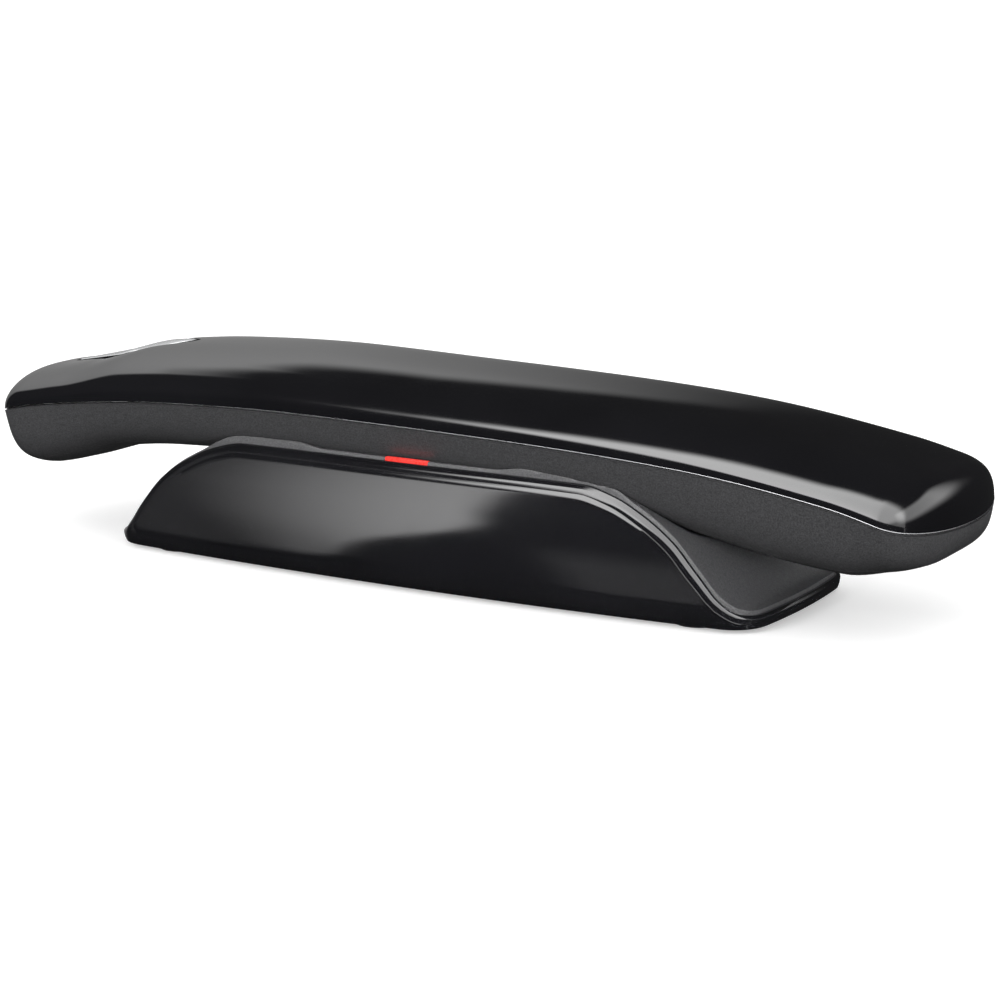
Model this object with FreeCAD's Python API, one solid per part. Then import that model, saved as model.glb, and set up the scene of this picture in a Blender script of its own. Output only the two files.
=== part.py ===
import FreeCAD, Part
import math
import os

# Cordless telephone handset lying face down in its charging base. Millimetres.
# +X runs along the handset towards the mouthpiece, -Y is the front of the base, +Z is up.
# The origin is on the table, under the middle of the object.

V = FreeCAD.Vector

# ---- driving dimensions: handset ------------------------------------------------------
HANDSET_LENGTH = 220.0
HANDSET_WIDTH = 50.6
HANDSET_WALL = 1.8
END_ROUND = 9.4              # depth of the rounded ends, seen from above
END_LIP = 4.5                # depth of the rounding of each end, seen from the side
FRONT_TAPER = 0.16           # how much the matte half narrows towards its face
SKIN_GAP = 0.05              # seam between two covers of the handset
TRIM_HEIGHT = 0.3            # bright line along the parting
SHADOW_GAP = 0.4             # dark groove under the bright line
LIP_INSET = 0.5              # depth of that groove
# Stations along the handset: (share of the half length, height or depth).
PARTING_LINE = ((-1.0, 26.2), (-0.82, 29.8), (-0.55, 32.7), (-0.27, 33.6), (0.0, 33.3),
                (0.27, 32.6), (0.55, 31.0), (0.82, 27.2), (1.0, 22.1))
BACK_HEIGHT = ((-1.0, 7.6), (-0.9, 7.1), (-0.82, 7.4), (-0.68, 9.6), (-0.45, 9.8),
               (0.0, 9.1), (0.45, 8.8), (0.82, 8.0), (1.0, 8.4))
FRONT_DEPTH = ((-1.0, 6.5), (-0.965, 11.0), (-0.93, 13.8), (-0.89, 14.8), (-0.82, 14.1),
               (-0.71, 11.8), (-0.6, 11.4), (0.0, 11.4),
               (0.27, 11.8), (0.45, 13.4), (0.59, 15.6), (0.7, 16.4), (0.82, 15.6),
               (0.91, 11.4), (1.0, 5.6))
PLATE_MARGIN = 6.8           # the face plate stops this far inside the outline
PLATE_CORNER = 8.0
PLATE_SEAM = 0.1

KEY_LENGTH = 7.2             # along the handset
KEY_WIDTH = 7.6
KEY_PITCH = 9.6
KEY_COLUMN = 9.6
KEYPAD_START = -26.0         # first row of keys
KEY_CORNER = 2.2
KEY_STAND = 0.7              # how far a key stands out of the face
KEY_TRAVEL = 0.5
KEY_SLIT = 0.25
KEY_FLANGE = 0.7
KEY_FLANGE_HEIGHT = 0.4
KEY_SEAT = 0.15              # gap under a key's flange
MAT_THICKNESS = 0.4
KEY_NAMES = (("key_soft_left", None, "key_soft_right"), ("key_talk", None, "key_end"),
             ("key_1", "key_2", "key_3"), ("key_4", "key_5", "key_6"),
             ("key_7", "key_8", "key_9"), ("key_star", "key_0", "key_hash"))

EAR_INSET = 18.0             # middle of the earpiece, from the end
EAR_RADIUS = 6.5
EAR_SLOT_WIDTH = 1.2
EAR_SLOT_LENGTH = 8.0        # of the middle slot; each next one is 1 shorter
EAR_SLOT_PITCH = 2.4
EAR_MESH_THICKNESS = 0.3
EAR_HEIGHT = 3.2
MIC_INSET = 14.0
MIC_RADIUS = 3.0
MIC_HEIGHT = 1.8
MIC_HOLE = 0.8
WINDOW_LENGTH = 26.0
WINDOW_WIDTH = 19.0
WINDOW_CORNER = 2.0
DISPLAY_HEIGHT = 2.2
CAP_INSET = 5.0              # tip of the kite-shaped ringer cap, from the end
CAP_LENGTH = 36.5
CAP_SHOULDER = 23.5          # from its tip to its widest place
CAP_WIDTH = 20.0
CAP_CORNER = 2.5
CAP_GROOVE = 1.2
CAP_DEPTH = 1.0
CAP_SEAM = 0.15
RINGER_RADIUS = 8.0
RINGER_HEIGHT = 4.0
SOUND_HOLE_RADIUS = 5.0

BOARD_LEVEL = 27.0           # underside of the handset's circuit board
BOARD_THICKNESS = 1.0
BOARD_START = -70.0
BOARD_END = 50.0
BOARD_WIDTH = 34.0
BOARD_CORNER = 2.0
BOSS_INSET = 5.0             # from the ends of the board
BOSS_SIDE_INSET = 3.5
BOSS_RADIUS = 2.0
SHIELD_LENGTH = 22.0
SHIELD_WIDTH = 18.0
SHIELD_HEIGHT = 3.0
SHIELD_WALL = 0.3
HANDSET_SHIELD_PLACE = -42.0
ANTENNA_LENGTH = 18.0
ANTENNA_WIDTH = 4.0
ANTENNA_HEIGHT = 2.0
CELL_RADIUS = 5.25
CELL_LENGTH = 44.5
CELL_START = -17.0
CELL_GAP = 0.6
CELL_NUB = 1.8               # radius of the raised end
HOLDER_WALL = 1.2
HOLDER_FLOOR = 0.5
HOLDER_HEIGHT = 5.9
CONTACT_THICKNESS = 0.4
CONTACT_WIDTH = 7.0
SCREW_RADIUS = 0.9
SCREW_CLEARANCE = 0.05
SCREW_DEPTH = 3.0
SCREW_HEAD = 1.7
SCREW_HEAD_HEIGHT = 1.15
SCREW_SLOT = 0.4

# ---- driving dimensions: base ---------------------------------------------------------
BASE_LENGTH = 151.0          # at the table
BASE_DEPTH = 52.4            # at the table
BASE_BOW = 2.8               # the long sides bow outwards by this much
BASE_END_BOW = 0.8
BASE_CORNER = 7.0
BASE_BOTTOM = 0.8
# How far the side panels stand out from the outline at the table, by height.
BASE_BULGE = ((0.8, 0.0), (3.0, 1.5), (6.0, 2.4), (12.0, 2.8), (18.0, 2.4), (22.0, 1.6),
              (26.0, 0.3), (29.0, -1.2))
END_BULGE_SHARE = 0.4
# Top edge of the side panels: (share of the half length, height).
BASE_ARCH = ((0.0, 26.2), (0.3, 26.2), (0.53, 26.0), (0.62, 24.5), (0.715, 21.2), (0.795, 17.0),
             (0.86, 11.6), (0.92, 6.4), (0.965, 4.0), (1.0, 3.4))
SHELL_WALL = 1.5
COVER_SEAM = 0.15
COVER_SKIN = 2.4
LEDGE_RISE = 0.5
SHOULDER_RISE = 0.9          # the cradle's shoulders stand over the panel's edge
SHOULDER_INNER = 20.0
SHOULDER_OUTER = 44.0
SHOULDER_RAMP = 7.0
CRADLE_CLEARANCE = 0.4
CRADLE_WALL = 2.4
KEY_WELL_DEPTH = 1.0

FOOT_RADIUS = 5.0
FOOT_RECESS = 0.6
BOTTOM_COVER_THICKNESS = 2.0
FOOT_SIDE_INSET = 14.0
FOOT_FRONT_INSET = 9.0
BALLAST_THICKNESS = 2.5
POST_RADIUS = 3.0
BASE_SCREW_INSET = 4.0
BASE_SCREW_HEAD = 2.1
BASE_SCREW_RECESS = 1.2
BASE_BOARD_LEVEL = 7.0
BASE_BOARD_LENGTH = 112.0
BASE_BOARD_DEPTH = 36.0
SOCKET_WIDTH = 12.6
SOCKET_HEIGHT = 8.4
SOCKET_DEPTH = 14.0
SOCKET_WALL = 1.0
SOCKET_SPACING = 40.0
SOCKET_BACK = 1.5            # thickness of its inner end
SOCKET_WIRE = 0.4
SOCKET_WIRE_PITCH = 1.2
REAR_GAP = 0.8               # from the rear panel's inner side to the sockets
PAGE_RADIUS = 3.6
PAGE_TRAVEL = 0.8
PAGE_SLIT = 0.2
PAGE_COLLAR = 0.9
PAGE_COLLAR_THICKNESS = 0.8
LAMP_LENGTH = 10.0
LAMP_DEPTH = 1.2
PIN_PLACE = 52.0
PIN_SPREAD = 7.0
PIN_RADIUS = 1.25
PIN_SLIT = 0.08
PIN_COLLAR = 1.7
PIN_COLLAR_THICKNESS = 0.75
SPRING_WIRE = 0.26           # side of its square wire
SPRING_TURNS = 5
PAD_LENGTH = 5.0
STRIP_WIDTH = 6.0
STRIP_HEIGHT = 2.6
STRIP_THICKNESS = 0.4

HALF_LENGTH = HANDSET_LENGTH / 2
HALF_WIDTH = HANDSET_WIDTH / 2
EAR_PLACE = EAR_INSET - HALF_LENGTH
MIC_PLACE = HALF_LENGTH - MIC_INSET
CAP_TIP = CAP_INSET - HALF_LENGTH
RINGER_PLACE = CAP_TIP + CAP_SHOULDER - 2.0
WINDOW_PLACE = (EAR_PLACE + KEYPAD_START) / 2
BOARD_TOP = BOARD_LEVEL + BOARD_THICKNESS
BASE_BOARD_TOP = BASE_BOARD_LEVEL + BOARD_THICKNESS
COVER_FLOOR = BASE_BOTTOM + BOTTOM_COVER_THICKNESS      # inner side of the bottom cover
FAR = 150.0                  # beyond the object in every direction


# ---- shape helpers --------------------------------------------------------------------
def smooth_value(stations, t):
    """Value at t of a smooth curve through the stations, without overshoot."""
    places = [station[0] for station in stations]
    values = [station[1] for station in stations]
    if t <= places[0]:
        return values[0]
    if t >= places[-1]:
        return values[-1]
    steps = [(values[i + 1] - values[i]) / (places[i + 1] - places[i])
             for i in range(len(places) - 1)]
    slopes = [steps[0]]
    for before, after in zip(steps, steps[1:]):
        slopes.append(0.0 if before * after <= 0 else 2 * before * after / (before + after))
    slopes.append(steps[-1])
    i = max(k for k in range(len(steps)) if places[k] <= t)
    span = places[i + 1] - places[i]
    u = (t - places[i]) / span
    return ((1 + 2 * u) * (1 - u) ** 2 * values[i] + u * (1 - u) ** 2 * span * slopes[i]
            + u * u * (3 - 2 * u) * values[i + 1] + u * u * (u - 1) * span * slopes[i + 1])


def spaced(start, end, count):
    return [start + (end - start) * i / (count - 1) for i in range(count)]


def spline_edge(points):
    """One smooth edge through the points, with evenly spread parameters."""
    curve = Part.BSplineCurve()
    curve.interpolate(Points=points, Parameters=spaced(0.0, 1.0, len(points)))
    return curve.toShape()


def box(x0, x1, y0, y1, z0, z1):
    return Part.makeBox(x1 - x0, y1 - y0, z1 - z0, V(x0, y0, z0))


def centred_box(x, y, length, width, z0, z1):
    return box(x - length / 2, x + length / 2, y - width / 2, y + width / 2, z0, z1)


def disc(x, y, z0, z1, radius):
    return Part.makeCylinder(radius, z1 - z0, V(x, y, z0))


def upright_edges(shape):
    return [e for e in shape.Edges if abs(e.tangentAt(e.FirstParameter).z) > 0.99]


def rounded_box(x, y, length, width, z0, z1, radius):
    block = centred_box(x, y, length, width, z0, z1)
    return block.makeFillet(radius, upright_edges(block))


def zone(height, level, half_width=FAR):
    """Solid between the curve z = height(x) and a level, across the whole object."""
    places = spaced(-FAR, FAR, 121)
    top = spline_edge([V(x, -half_width, height(x)) for x in places])
    corners = [V(FAR, -half_width, height(FAR)), V(FAR, -half_width, level),
               V(-FAR, -half_width, level), V(-FAR, -half_width, height(-FAR))]
    sides = [Part.makeLine(a, b) for a, b in zip(corners, corners[1:])]
    return Part.Face(Part.Wire([top] + sides)).extrude(V(0, 2 * half_width, 0))


# ---- handset surfaces -----------------------------------------------------------------
def parting(x):
    return smooth_value(PARTING_LINE, x / HALF_LENGTH)


def face_level(x, inset=0.0):
    """Height of the middle of the handset's face, or of its inner side."""
    return parting(x) - smooth_value(FRONT_DEPTH, x / HALF_LENGTH) + inset


def face_level_at(x, y, inset):
    """Height of the inner side of the face at a distance from the middle line."""
    width = HALF_WIDTH - inset
    low, high = 0.0, math.pi / 2
    for _ in range(40):
        angle = (low + high) / 2
        across = width * (1 - FRONT_TAPER * math.sin(angle) ** 0.5) * math.cos(angle) ** 0.5
        low, high = (angle, high) if across > abs(y) else (low, angle)
    drop = smooth_value(FRONT_DEPTH, x / HALF_LENGTH) - inset
    return parting(x) - drop * math.sin(angle) ** 0.5


def back_level(x, inset=0.0):
    return parting(x) + smooth_value(BACK_HEIGHT, x / HALF_LENGTH) - inset


def end_factor(x, depth, inset):
    """1 along the handset, falling to 0 over the last stretch like a quarter ellipse."""
    over = (abs(x) - HALF_LENGTH + depth) / (depth - inset)
    return 1.0 if over <= 0 else math.sqrt(max(0.0, 1 - over * over))


def handset_section(x, inset):
    """Closed wire of two smooth edges: the domed back and the tapered front."""
    width = (HALF_WIDTH - inset) * end_factor(x, END_ROUND, inset)
    lip = end_factor(x, END_LIP, inset)
    rise = (smooth_value(BACK_HEIGHT, x / HALF_LENGTH) - inset) * lip
    drop = (smooth_value(FRONT_DEPTH, x / HALF_LENGTH) - inset) * lip
    back, front = [], []
    for t in spaced(-1.0, 1.0, 17):
        angle = math.pi / 2 * (1 - abs(t) ** 1.5 if t else 1)
        side = math.copysign(1.0, t)
        across = width * math.cos(angle) ** (2 / 2.53)
        back.append(V(x, side * across, parting(x) + rise * math.sin(angle)))
        down = math.sin(angle) ** 0.5
        across = width * (1 - FRONT_TAPER * down) * math.cos(angle) ** 0.5
        front.append(V(x, side * across, parting(x) - drop * down))
    return Part.Wire([spline_edge(back), spline_edge(front[::-1])])


def handset_body(inset, start=-FAR, end=FAR):
    """The handset's outer form, moved inwards by inset (outwards if it is negative)."""
    limit = HALF_LENGTH - inset - 0.15
    near_end = [limit - d for d in (0.0, 0.5, 1.6, 3.2, 6.0, 10.0, 15.0, 20.0, 26.0, 34.0, 44.0)]
    middle = [limit - 44.0 - (limit - 44.0) * k / 4 for k in (1, 2, 3)]
    places = sorted([-x for x in near_end + middle] + [0.0] + near_end + middle)
    places = [x for x in places if start + 1 < x < end - 1]
    places = ([start] if start > -limit else []) + places + ([end] if end < limit else [])
    return Part.makeLoft([handset_section(x, inset) for x in places], True, False)


def face_slope(x):
    return math.degrees(math.atan((face_level(x + 3) - face_level(x - 3)) / 6))


def seat_on_face(shape, x, lift):
    """Puts a shape built on z = 0 on the inner side of the face, square to it."""
    seated = shape.copy()
    seated.rotate(V(0, 0, 0), V(0, 1, 0), -face_slope(x))
    tilt = math.radians(face_slope(x))
    rise = HANDSET_WALL + lift
    seated.translate(V(x - rise * math.sin(tilt), 0, face_level(x) + rise * math.cos(tilt)))
    return seated


def plate_outline(margin):
    length = HANDSET_LENGTH - 2 * margin
    width = HANDSET_WIDTH - 2 * margin
    return rounded_box(0, 0, length, width, -10, 45, PLATE_CORNER)


# ---- base surfaces --------------------------------------------------------------------
def arch(x):
    return smooth_value(BASE_ARCH, abs(x) / (BASE_LENGTH / 2))


def shoulder(x):
    """Top of the cradle: the ledge, and over it the two shoulders."""
    distance = abs(x)
    into = (distance - SHOULDER_INNER) / SHOULDER_RAMP
    out = (SHOULDER_OUTER + SHOULDER_RAMP - distance) / SHOULDER_RAMP
    share = max(0.0, min(1.0, into, out))
    return arch(x) + LEDGE_RISE + SHOULDER_RISE * share * share * (3 - 2 * share)


def base_outline(z, inset):
    """Rounded, slightly bowed rectangle at a height."""
    bulge = smooth_value(BASE_BULGE, z) - inset
    half_length = BASE_LENGTH / 2 + END_BULGE_SHARE * smooth_value(BASE_BULGE, z) - inset
    half_depth = BASE_DEPTH / 2 + bulge
    radius = BASE_CORNER + bulge
    corner_x = half_length - radius
    side = half_depth - BASE_BOW
    corner_y = side - radius
    bend = radius * math.sqrt(0.5)

    def arc(*points):
        return Part.Arc(*[V(x, y, z) for x, y in points]).toShape()

    edges = []
    for sx, sy in ((1, -1), (1, 1), (-1, 1), (-1, -1)):
        long_side = arc((-sx * corner_x, sy * side), (0, sy * half_depth), (sx * corner_x, sy * side))
        corner = arc((sx * corner_x, sy * side),
                     (sx * (corner_x + bend), sy * (corner_y + bend)),
                     (sx * half_length, sy * corner_y))
        end = arc((sx * half_length, sy * corner_y), (sx * (half_length + BASE_END_BOW), 0),
                  (sx * half_length, -sy * corner_y))
        if sx == sy:
            edges += [corner, long_side]
        else:
            edges += [corner, end]
    return Part.Wire(Part.__sortEdges__(edges))


def base_block(inset):
    levels = [0.2, 2.0, 4.5, 8.0, 12.0, 17.0, 21.0, 25.0, 29.0]
    return Part.makeLoft([base_outline(z, inset) for z in levels], True, False)


# ---- handset parts --------------------------------------------------------------------
def key_places():
    """Name, x, y and length of each key."""
    places = []
    for row, names in enumerate(KEY_NAMES):
        for column, name in zip((1, 0, -1), names):     # read from below, left is +Y
            if name:
                places.append((name, KEYPAD_START + row * KEY_PITCH, column * KEY_COLUMN, KEY_LENGTH))
    places.append(("key_nav", KEYPAD_START + KEY_PITCH / 2, 0.0, KEY_LENGTH + KEY_PITCH))
    return places


def key_floor(x, y, length):
    """Level that clears the inner side of the face all round a key."""
    reach = length / 2 + KEY_FLANGE
    edge = abs(y) + KEY_WIDTH / 2 + KEY_FLANGE
    return max(face_level_at(p, edge, HANDSET_WALL) for p in spaced(x - reach, x + reach, 5)) + KEY_SEAT


def key_cap(x, y, length):
    floor = key_floor(x, y, length)
    cap = rounded_box(x, y, length, KEY_WIDTH, face_level(x) - KEY_STAND, floor + KEY_FLANGE_HEIGHT,
                      KEY_CORNER)
    flange = rounded_box(x, y, length + 2 * KEY_FLANGE, KEY_WIDTH + 2 * KEY_FLANGE,
                         floor, floor + KEY_FLANGE_HEIGHT, KEY_CORNER + 0.4)
    return cap.fuse(flange).removeSplitter()


def key_holes():
    return [rounded_box(x, y, length + 2 * KEY_SLIT, KEY_WIDTH + 2 * KEY_SLIT, 0, BOARD_LEVEL,
                        KEY_CORNER + 0.2) for _, x, y, length in key_places()]


def window_cutter(seam=0.0):
    return rounded_box(WINDOW_PLACE, 0, WINDOW_LENGTH + 2 * seam, WINDOW_WIDTH + 2 * seam, 0, 45,
                       WINDOW_CORNER)


def ear_slots():
    return [rounded_box(EAR_PLACE + EAR_SLOT_PITCH * k, 0, EAR_SLOT_WIDTH, EAR_SLOT_LENGTH - abs(k), 0, 30,
                        EAR_SLOT_WIDTH * 0.45) for k in (-2, -1, 0, 1, 2)]


def pad_cutter(side, seam=0.0):
    return centred_box(PIN_PLACE, side * PIN_SPREAD, PAD_LENGTH + 2 * seam, PAD_LENGTH + 2 * seam, 0, 45)


def boss_places():
    xs = (BOARD_START + BOSS_INSET, BOARD_END - BOSS_INSET)
    return [(x, side * (BOARD_WIDTH / 2 - BOSS_SIDE_INSET)) for x in xs for side in (-1, 1)]


def cap_cutter(grow):
    """Kite with rounded corners, its blunt end towards the middle of the handset."""
    shoulder = CAP_TIP + CAP_SHOULDER
    half = CAP_WIDTH / 2 + grow * 1.1
    corners = [V(CAP_TIP - grow * 2.0, 0, 25), V(shoulder, -half, 25),
               V(CAP_TIP + CAP_LENGTH + grow * 1.5, 0, 25), V(shoulder, half, 25)]
    kite = Part.Face(Part.makePolygon(corners + corners[:1])).extrude(V(0, 0, 25))
    return kite.makeFillet(CAP_CORNER + grow, upright_edges(kite))


def handset_skins():
    outer = handset_body(0.0)
    cavity = handset_body(HANDSET_WALL)
    shell = outer.cut(cavity)
    half_trim = TRIM_HEIGHT / 2
    above = zone(lambda x: parting(x) + half_trim + SKIN_GAP, 80)
    below = zone(lambda x: parting(x) - half_trim - SHADOW_GAP, -20)
    band = zone(lambda x: parting(x) - half_trim, 80).cut(zone(lambda x: parting(x) + half_trim, 80))
    lip_zone = zone(lambda x: parting(x) - half_trim - SHADOW_GAP - 1.0, 80).cut(
        zone(lambda x: parting(x) - half_trim - SKIN_GAP, 80))
    lip = handset_body(LIP_INSET).cut(cavity).common(lip_zone)
    back = shell.common(above)
    trim = shell.common(band)
    front = shell.common(below).fuse(lip)
    return outer, back, trim, front


def back_and_cap(outer, back):
    """The back cover with the cap's recess, and the cap that fills it."""
    reach = CAP_TIP + CAP_LENGTH + 10
    floor = handset_body(CAP_DEPTH, -FAR, reach)
    groove = cap_cutter(CAP_GROOVE).cut(floor)
    sound_hole = disc(RINGER_PLACE, 0, 25, 50, SOUND_HOLE_RADIUS)
    underside = handset_body(CAP_DEPTH - CAP_SEAM, -FAR, reach)
    cap = cap_cutter(0.0).common(outer).cut(underside).common(zone(parting, 80))
    return back.cut([groove, sound_hole]), cap


def front_and_plate(front):
    plate = front.common(plate_outline(PLATE_MARGIN)).common(zone(lambda x: parting(x) - 3.0, -20))
    housing = front.cut(plate_outline(PLATE_MARGIN - PLATE_SEAM).common(
        zone(lambda x: parting(x) - 3.0, -20)))
    window = plate.common(window_cutter())
    cutters = key_holes() + ear_slots() + [window_cutter(PLATE_SEAM)]
    cutters += [pad_cutter(side, PLATE_SEAM) for side in (-1, 1)]
    cutters.append(disc(MIC_PLACE, 0, 0, 30, MIC_HOLE))
    pads = Part.makeCompound([plate.common(pad_cutter(side)) for side in (-1, 1)])
    bosses = []
    for x, y in boss_places():
        bosses.append(disc(x, y, face_level_at(x, y, HANDSET_WALL) - 0.6, BOARD_LEVEL, BOSS_RADIUS))
        cutters.append(disc(x, y, BOARD_LEVEL - SCREW_DEPTH - 0.1, BOARD_LEVEL + 1,
                            SCREW_RADIUS + SCREW_CLEARANCE))
    return housing, plate.fuse(bosses).cut(cutters), window, pads


def handset_screws():
    screws = []
    for x, y in boss_places():
        shank = disc(x, y, BOARD_LEVEL - SCREW_DEPTH, BOARD_TOP + 0.05, SCREW_RADIUS)
        head = disc(x, y, BOARD_TOP + 0.05, BOARD_TOP + 0.05 + SCREW_HEAD_HEIGHT, SCREW_HEAD)
        cross = centred_box(x, y, 2 * SCREW_HEAD * 0.6, SCREW_SLOT, BOARD_TOP + 0.7, BOARD_TOP + 2)
        screws.append(shank.fuse(head).removeSplitter().cut(cross))
    return Part.makeCompound(screws)


def mat_level(x):
    """Underside of the rubber sheet: clear of the keys when they are pressed."""
    reach = (KEY_LENGTH + KEY_PITCH) / 2 + KEY_FLANGE
    edge = KEY_COLUMN + KEY_WIDTH / 2 + KEY_FLANGE
    floor = max(face_level_at(p, edge, HANDSET_WALL) for p in spaced(x - reach, x + reach, 5))
    return floor + KEY_SEAT + KEY_FLANGE_HEIGHT + KEY_TRAVEL + 0.2


def keypad_mat():
    start = KEYPAD_START - KEY_PITCH * 0.6
    end = KEYPAD_START + KEY_PITCH * 5.6
    sheet = zone(lambda x: mat_level(x) + MAT_THICKNESS, -20).cut(zone(mat_level, -20))
    return sheet.common(rounded_box((start + end) / 2, 0, end - start, 2 * KEY_COLUMN + KEY_WIDTH, 0, 45, 2.0))


def handset_board():
    middle = (BOARD_START + BOARD_END) / 2
    board = rounded_box(middle, 0, BOARD_END - BOARD_START, BOARD_WIDTH, BOARD_LEVEL, BOARD_TOP,
                        BOARD_CORNER)
    return board.cut([disc(x, y, BOARD_LEVEL - 1, BOARD_TOP + 1, SCREW_RADIUS + SCREW_CLEARANCE)
                      for x, y in boss_places()])


def shield_can(x, y, floor):
    top = floor + SHIELD_HEIGHT
    can = rounded_box(x, y, SHIELD_LENGTH, SHIELD_WIDTH, floor, top, 1.0)
    hollow = rounded_box(x, y, SHIELD_LENGTH - 2 * SHIELD_WALL, SHIELD_WIDTH - 2 * SHIELD_WALL,
                         floor - 1, top - SHIELD_WALL, 1.0 - SHIELD_WALL)
    return can.cut(hollow)


def cell_axis():
    return BOARD_TOP + 0.7 + CELL_RADIUS


def battery_cells():
    cells = []
    for side in (-1, 1):
        y = side * (CELL_RADIUS + CELL_GAP / 2)
        can = Part.makeCylinder(CELL_RADIUS, CELL_LENGTH - 1.0, V(CELL_START, y, cell_axis()), V(1, 0, 0))
        nub = Part.makeCylinder(CELL_NUB, CELL_LENGTH, V(CELL_START, y, cell_axis()), V(1, 0, 0))
        cell = can.fuse(nub).removeSplitter()
        if side < 0:
            cell.rotate(V(CELL_START + CELL_LENGTH / 2, y, cell_axis()), V(0, 0, 1), 180)
        cells.append(cell)
    return Part.makeCompound(cells)


def battery_holder():
    middle = CELL_START + CELL_LENGTH / 2
    width = 4 * CELL_RADIUS + 2 * HOLDER_WALL
    floor = BOARD_TOP + 0.1
    room_length = CELL_LENGTH + 4 * CONTACT_THICKNESS
    tray = centred_box(middle, 0, room_length + 2 * HOLDER_WALL, width, floor, floor + HOLDER_HEIGHT)
    room = centred_box(middle, 0, room_length, width + 2, floor + HOLDER_FLOOR, floor + 2 * HOLDER_HEIGHT)
    return tray.cut(room)


def battery_contacts():
    middle = CELL_START + CELL_LENGTH / 2
    plates = []
    for end in (-1, 1):
        x = middle + end * (CELL_LENGTH / 2 + CONTACT_THICKNESS + 0.05)
        for side in (-1, 1):
            y = side * (CELL_RADIUS + CELL_GAP / 2)
            plates.append(centred_box(x, y, CONTACT_THICKNESS, CONTACT_WIDTH, BOARD_TOP + 0.7,
                                      cell_axis() + CELL_RADIUS / 2))
    return Part.makeCompound(plates)


# ---- base parts -----------------------------------------------------------------------
def socket_x(side):
    return side * SOCKET_SPACING / 2


def rear_face():
    """A plane just inside the rear panel, where the sockets and the button start."""
    return BASE_DEPTH / 2 + smooth_value(BASE_BULGE, BASE_BOARD_TOP + SOCKET_HEIGHT) - SHELL_WALL - REAR_GAP


def socket_cutter(side):
    return centred_box(socket_x(side), rear_face(), SOCKET_WIDTH - 2 * SOCKET_WALL,
                       20.0, BASE_BOARD_TOP + SOCKET_WALL, BASE_BOARD_TOP + SOCKET_HEIGHT - SOCKET_WALL)


def socket(side):
    """Modular socket open at the rear, with its row of contact wires."""
    x = socket_x(side)
    rear = rear_face()
    body = box(x - SOCKET_WIDTH / 2, x + SOCKET_WIDTH / 2, rear - SOCKET_DEPTH, rear,
               BASE_BOARD_TOP, BASE_BOARD_TOP + SOCKET_HEIGHT)
    room = box(x - SOCKET_WIDTH / 2 + SOCKET_WALL, x + SOCKET_WIDTH / 2 - SOCKET_WALL,
               rear - SOCKET_DEPTH + SOCKET_BACK, rear + 1,
               BASE_BOARD_TOP + SOCKET_WALL, BASE_BOARD_TOP + SOCKET_HEIGHT - SOCKET_WALL)
    ceiling = BASE_BOARD_TOP + SOCKET_HEIGHT - SOCKET_WALL
    wires = [centred_box(x + SOCKET_WIRE_PITCH * k, rear - SOCKET_DEPTH / 2 - 1, SOCKET_WIRE,
                         SOCKET_DEPTH - 4, ceiling - 0.6, ceiling + 0.3) for k in (-1.5, -0.5, 0.5, 1.5)]
    return body.cut(room).fuse(wires).removeSplitter()


def page_axis():
    return BASE_BOARD_TOP + SOCKET_HEIGHT / 2


def along_y(x, z, y0, y1, radius):
    return Part.makeCylinder(radius, y1 - y0, V(x, y0, z), V(0, 1, 0))


def page_button():
    outer = BASE_DEPTH / 2 + smooth_value(BASE_BULGE, page_axis()) - 0.2
    inner = rear_face() - PAGE_COLLAR_THICKNESS
    knob = along_y(0, page_axis(), inner, outer, PAGE_RADIUS)
    collar = along_y(0, page_axis(), inner, rear_face(), PAGE_RADIUS + PAGE_COLLAR)
    return knob.fuse(collar).removeSplitter()


def page_switch():
    front = rear_face() - PAGE_COLLAR_THICKNESS - PAGE_TRAVEL - 0.1
    body = box(-3.0, 3.0, front - 5.0, front - 1.2, BASE_BOARD_TOP, page_axis() + 3)
    plunger = along_y(0, page_axis(), front - 2, front, 1.5)
    return body.fuse(plunger).removeSplitter()


def pin_tip():
    return min(face_level(p) for p in spaced(PIN_PLACE - PIN_RADIUS, PIN_PLACE + PIN_RADIUS, 3)) - 0.1


def holder_top():
    return min(face_level(p) for p in spaced(PIN_PLACE - 5, PIN_PLACE + 5, 5)) \
        - CRADLE_CLEARANCE - CRADLE_WALL - 0.4


def charge_pin(side):
    y = side * PIN_SPREAD
    collar_top = holder_top() - 1.05
    floor = collar_top - PIN_COLLAR_THICKNESS
    pin = disc(PIN_PLACE, y, floor, pin_tip(), PIN_RADIUS)
    pin = pin.makeFillet(0.5, [e for e in pin.Edges if e.CenterOfMass.z > pin_tip() - 0.01])
    return pin.fuse(disc(PIN_PLACE, y, floor, collar_top, PIN_COLLAR)).removeSplitter()


def spring_room():
    """Lowest and highest level of the charge pin's spring."""
    return BASE_BOARD_TOP + 1.0, holder_top() - 1.8


def charge_spring(side):
    low, high = spring_room()
    half = SPRING_WIRE / 2
    low += half + 0.07
    high -= half + 0.07
    radius = PIN_COLLAR - half - 0.12
    helix = Part.makeHelix((high - low) / SPRING_TURNS, high - low, radius)
    corners = [V(radius + half * u, 0, half * w) for u, w in ((-1, -1), (1, -1), (1, 1), (-1, 1))]
    wire = Part.makePolygon(corners + corners[:1])
    spring = Part.Wire(helix.Edges).makePipeShell([wire], True, True)
    spring.translate(V(PIN_PLACE, side * PIN_SPREAD, low))
    return spring


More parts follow.
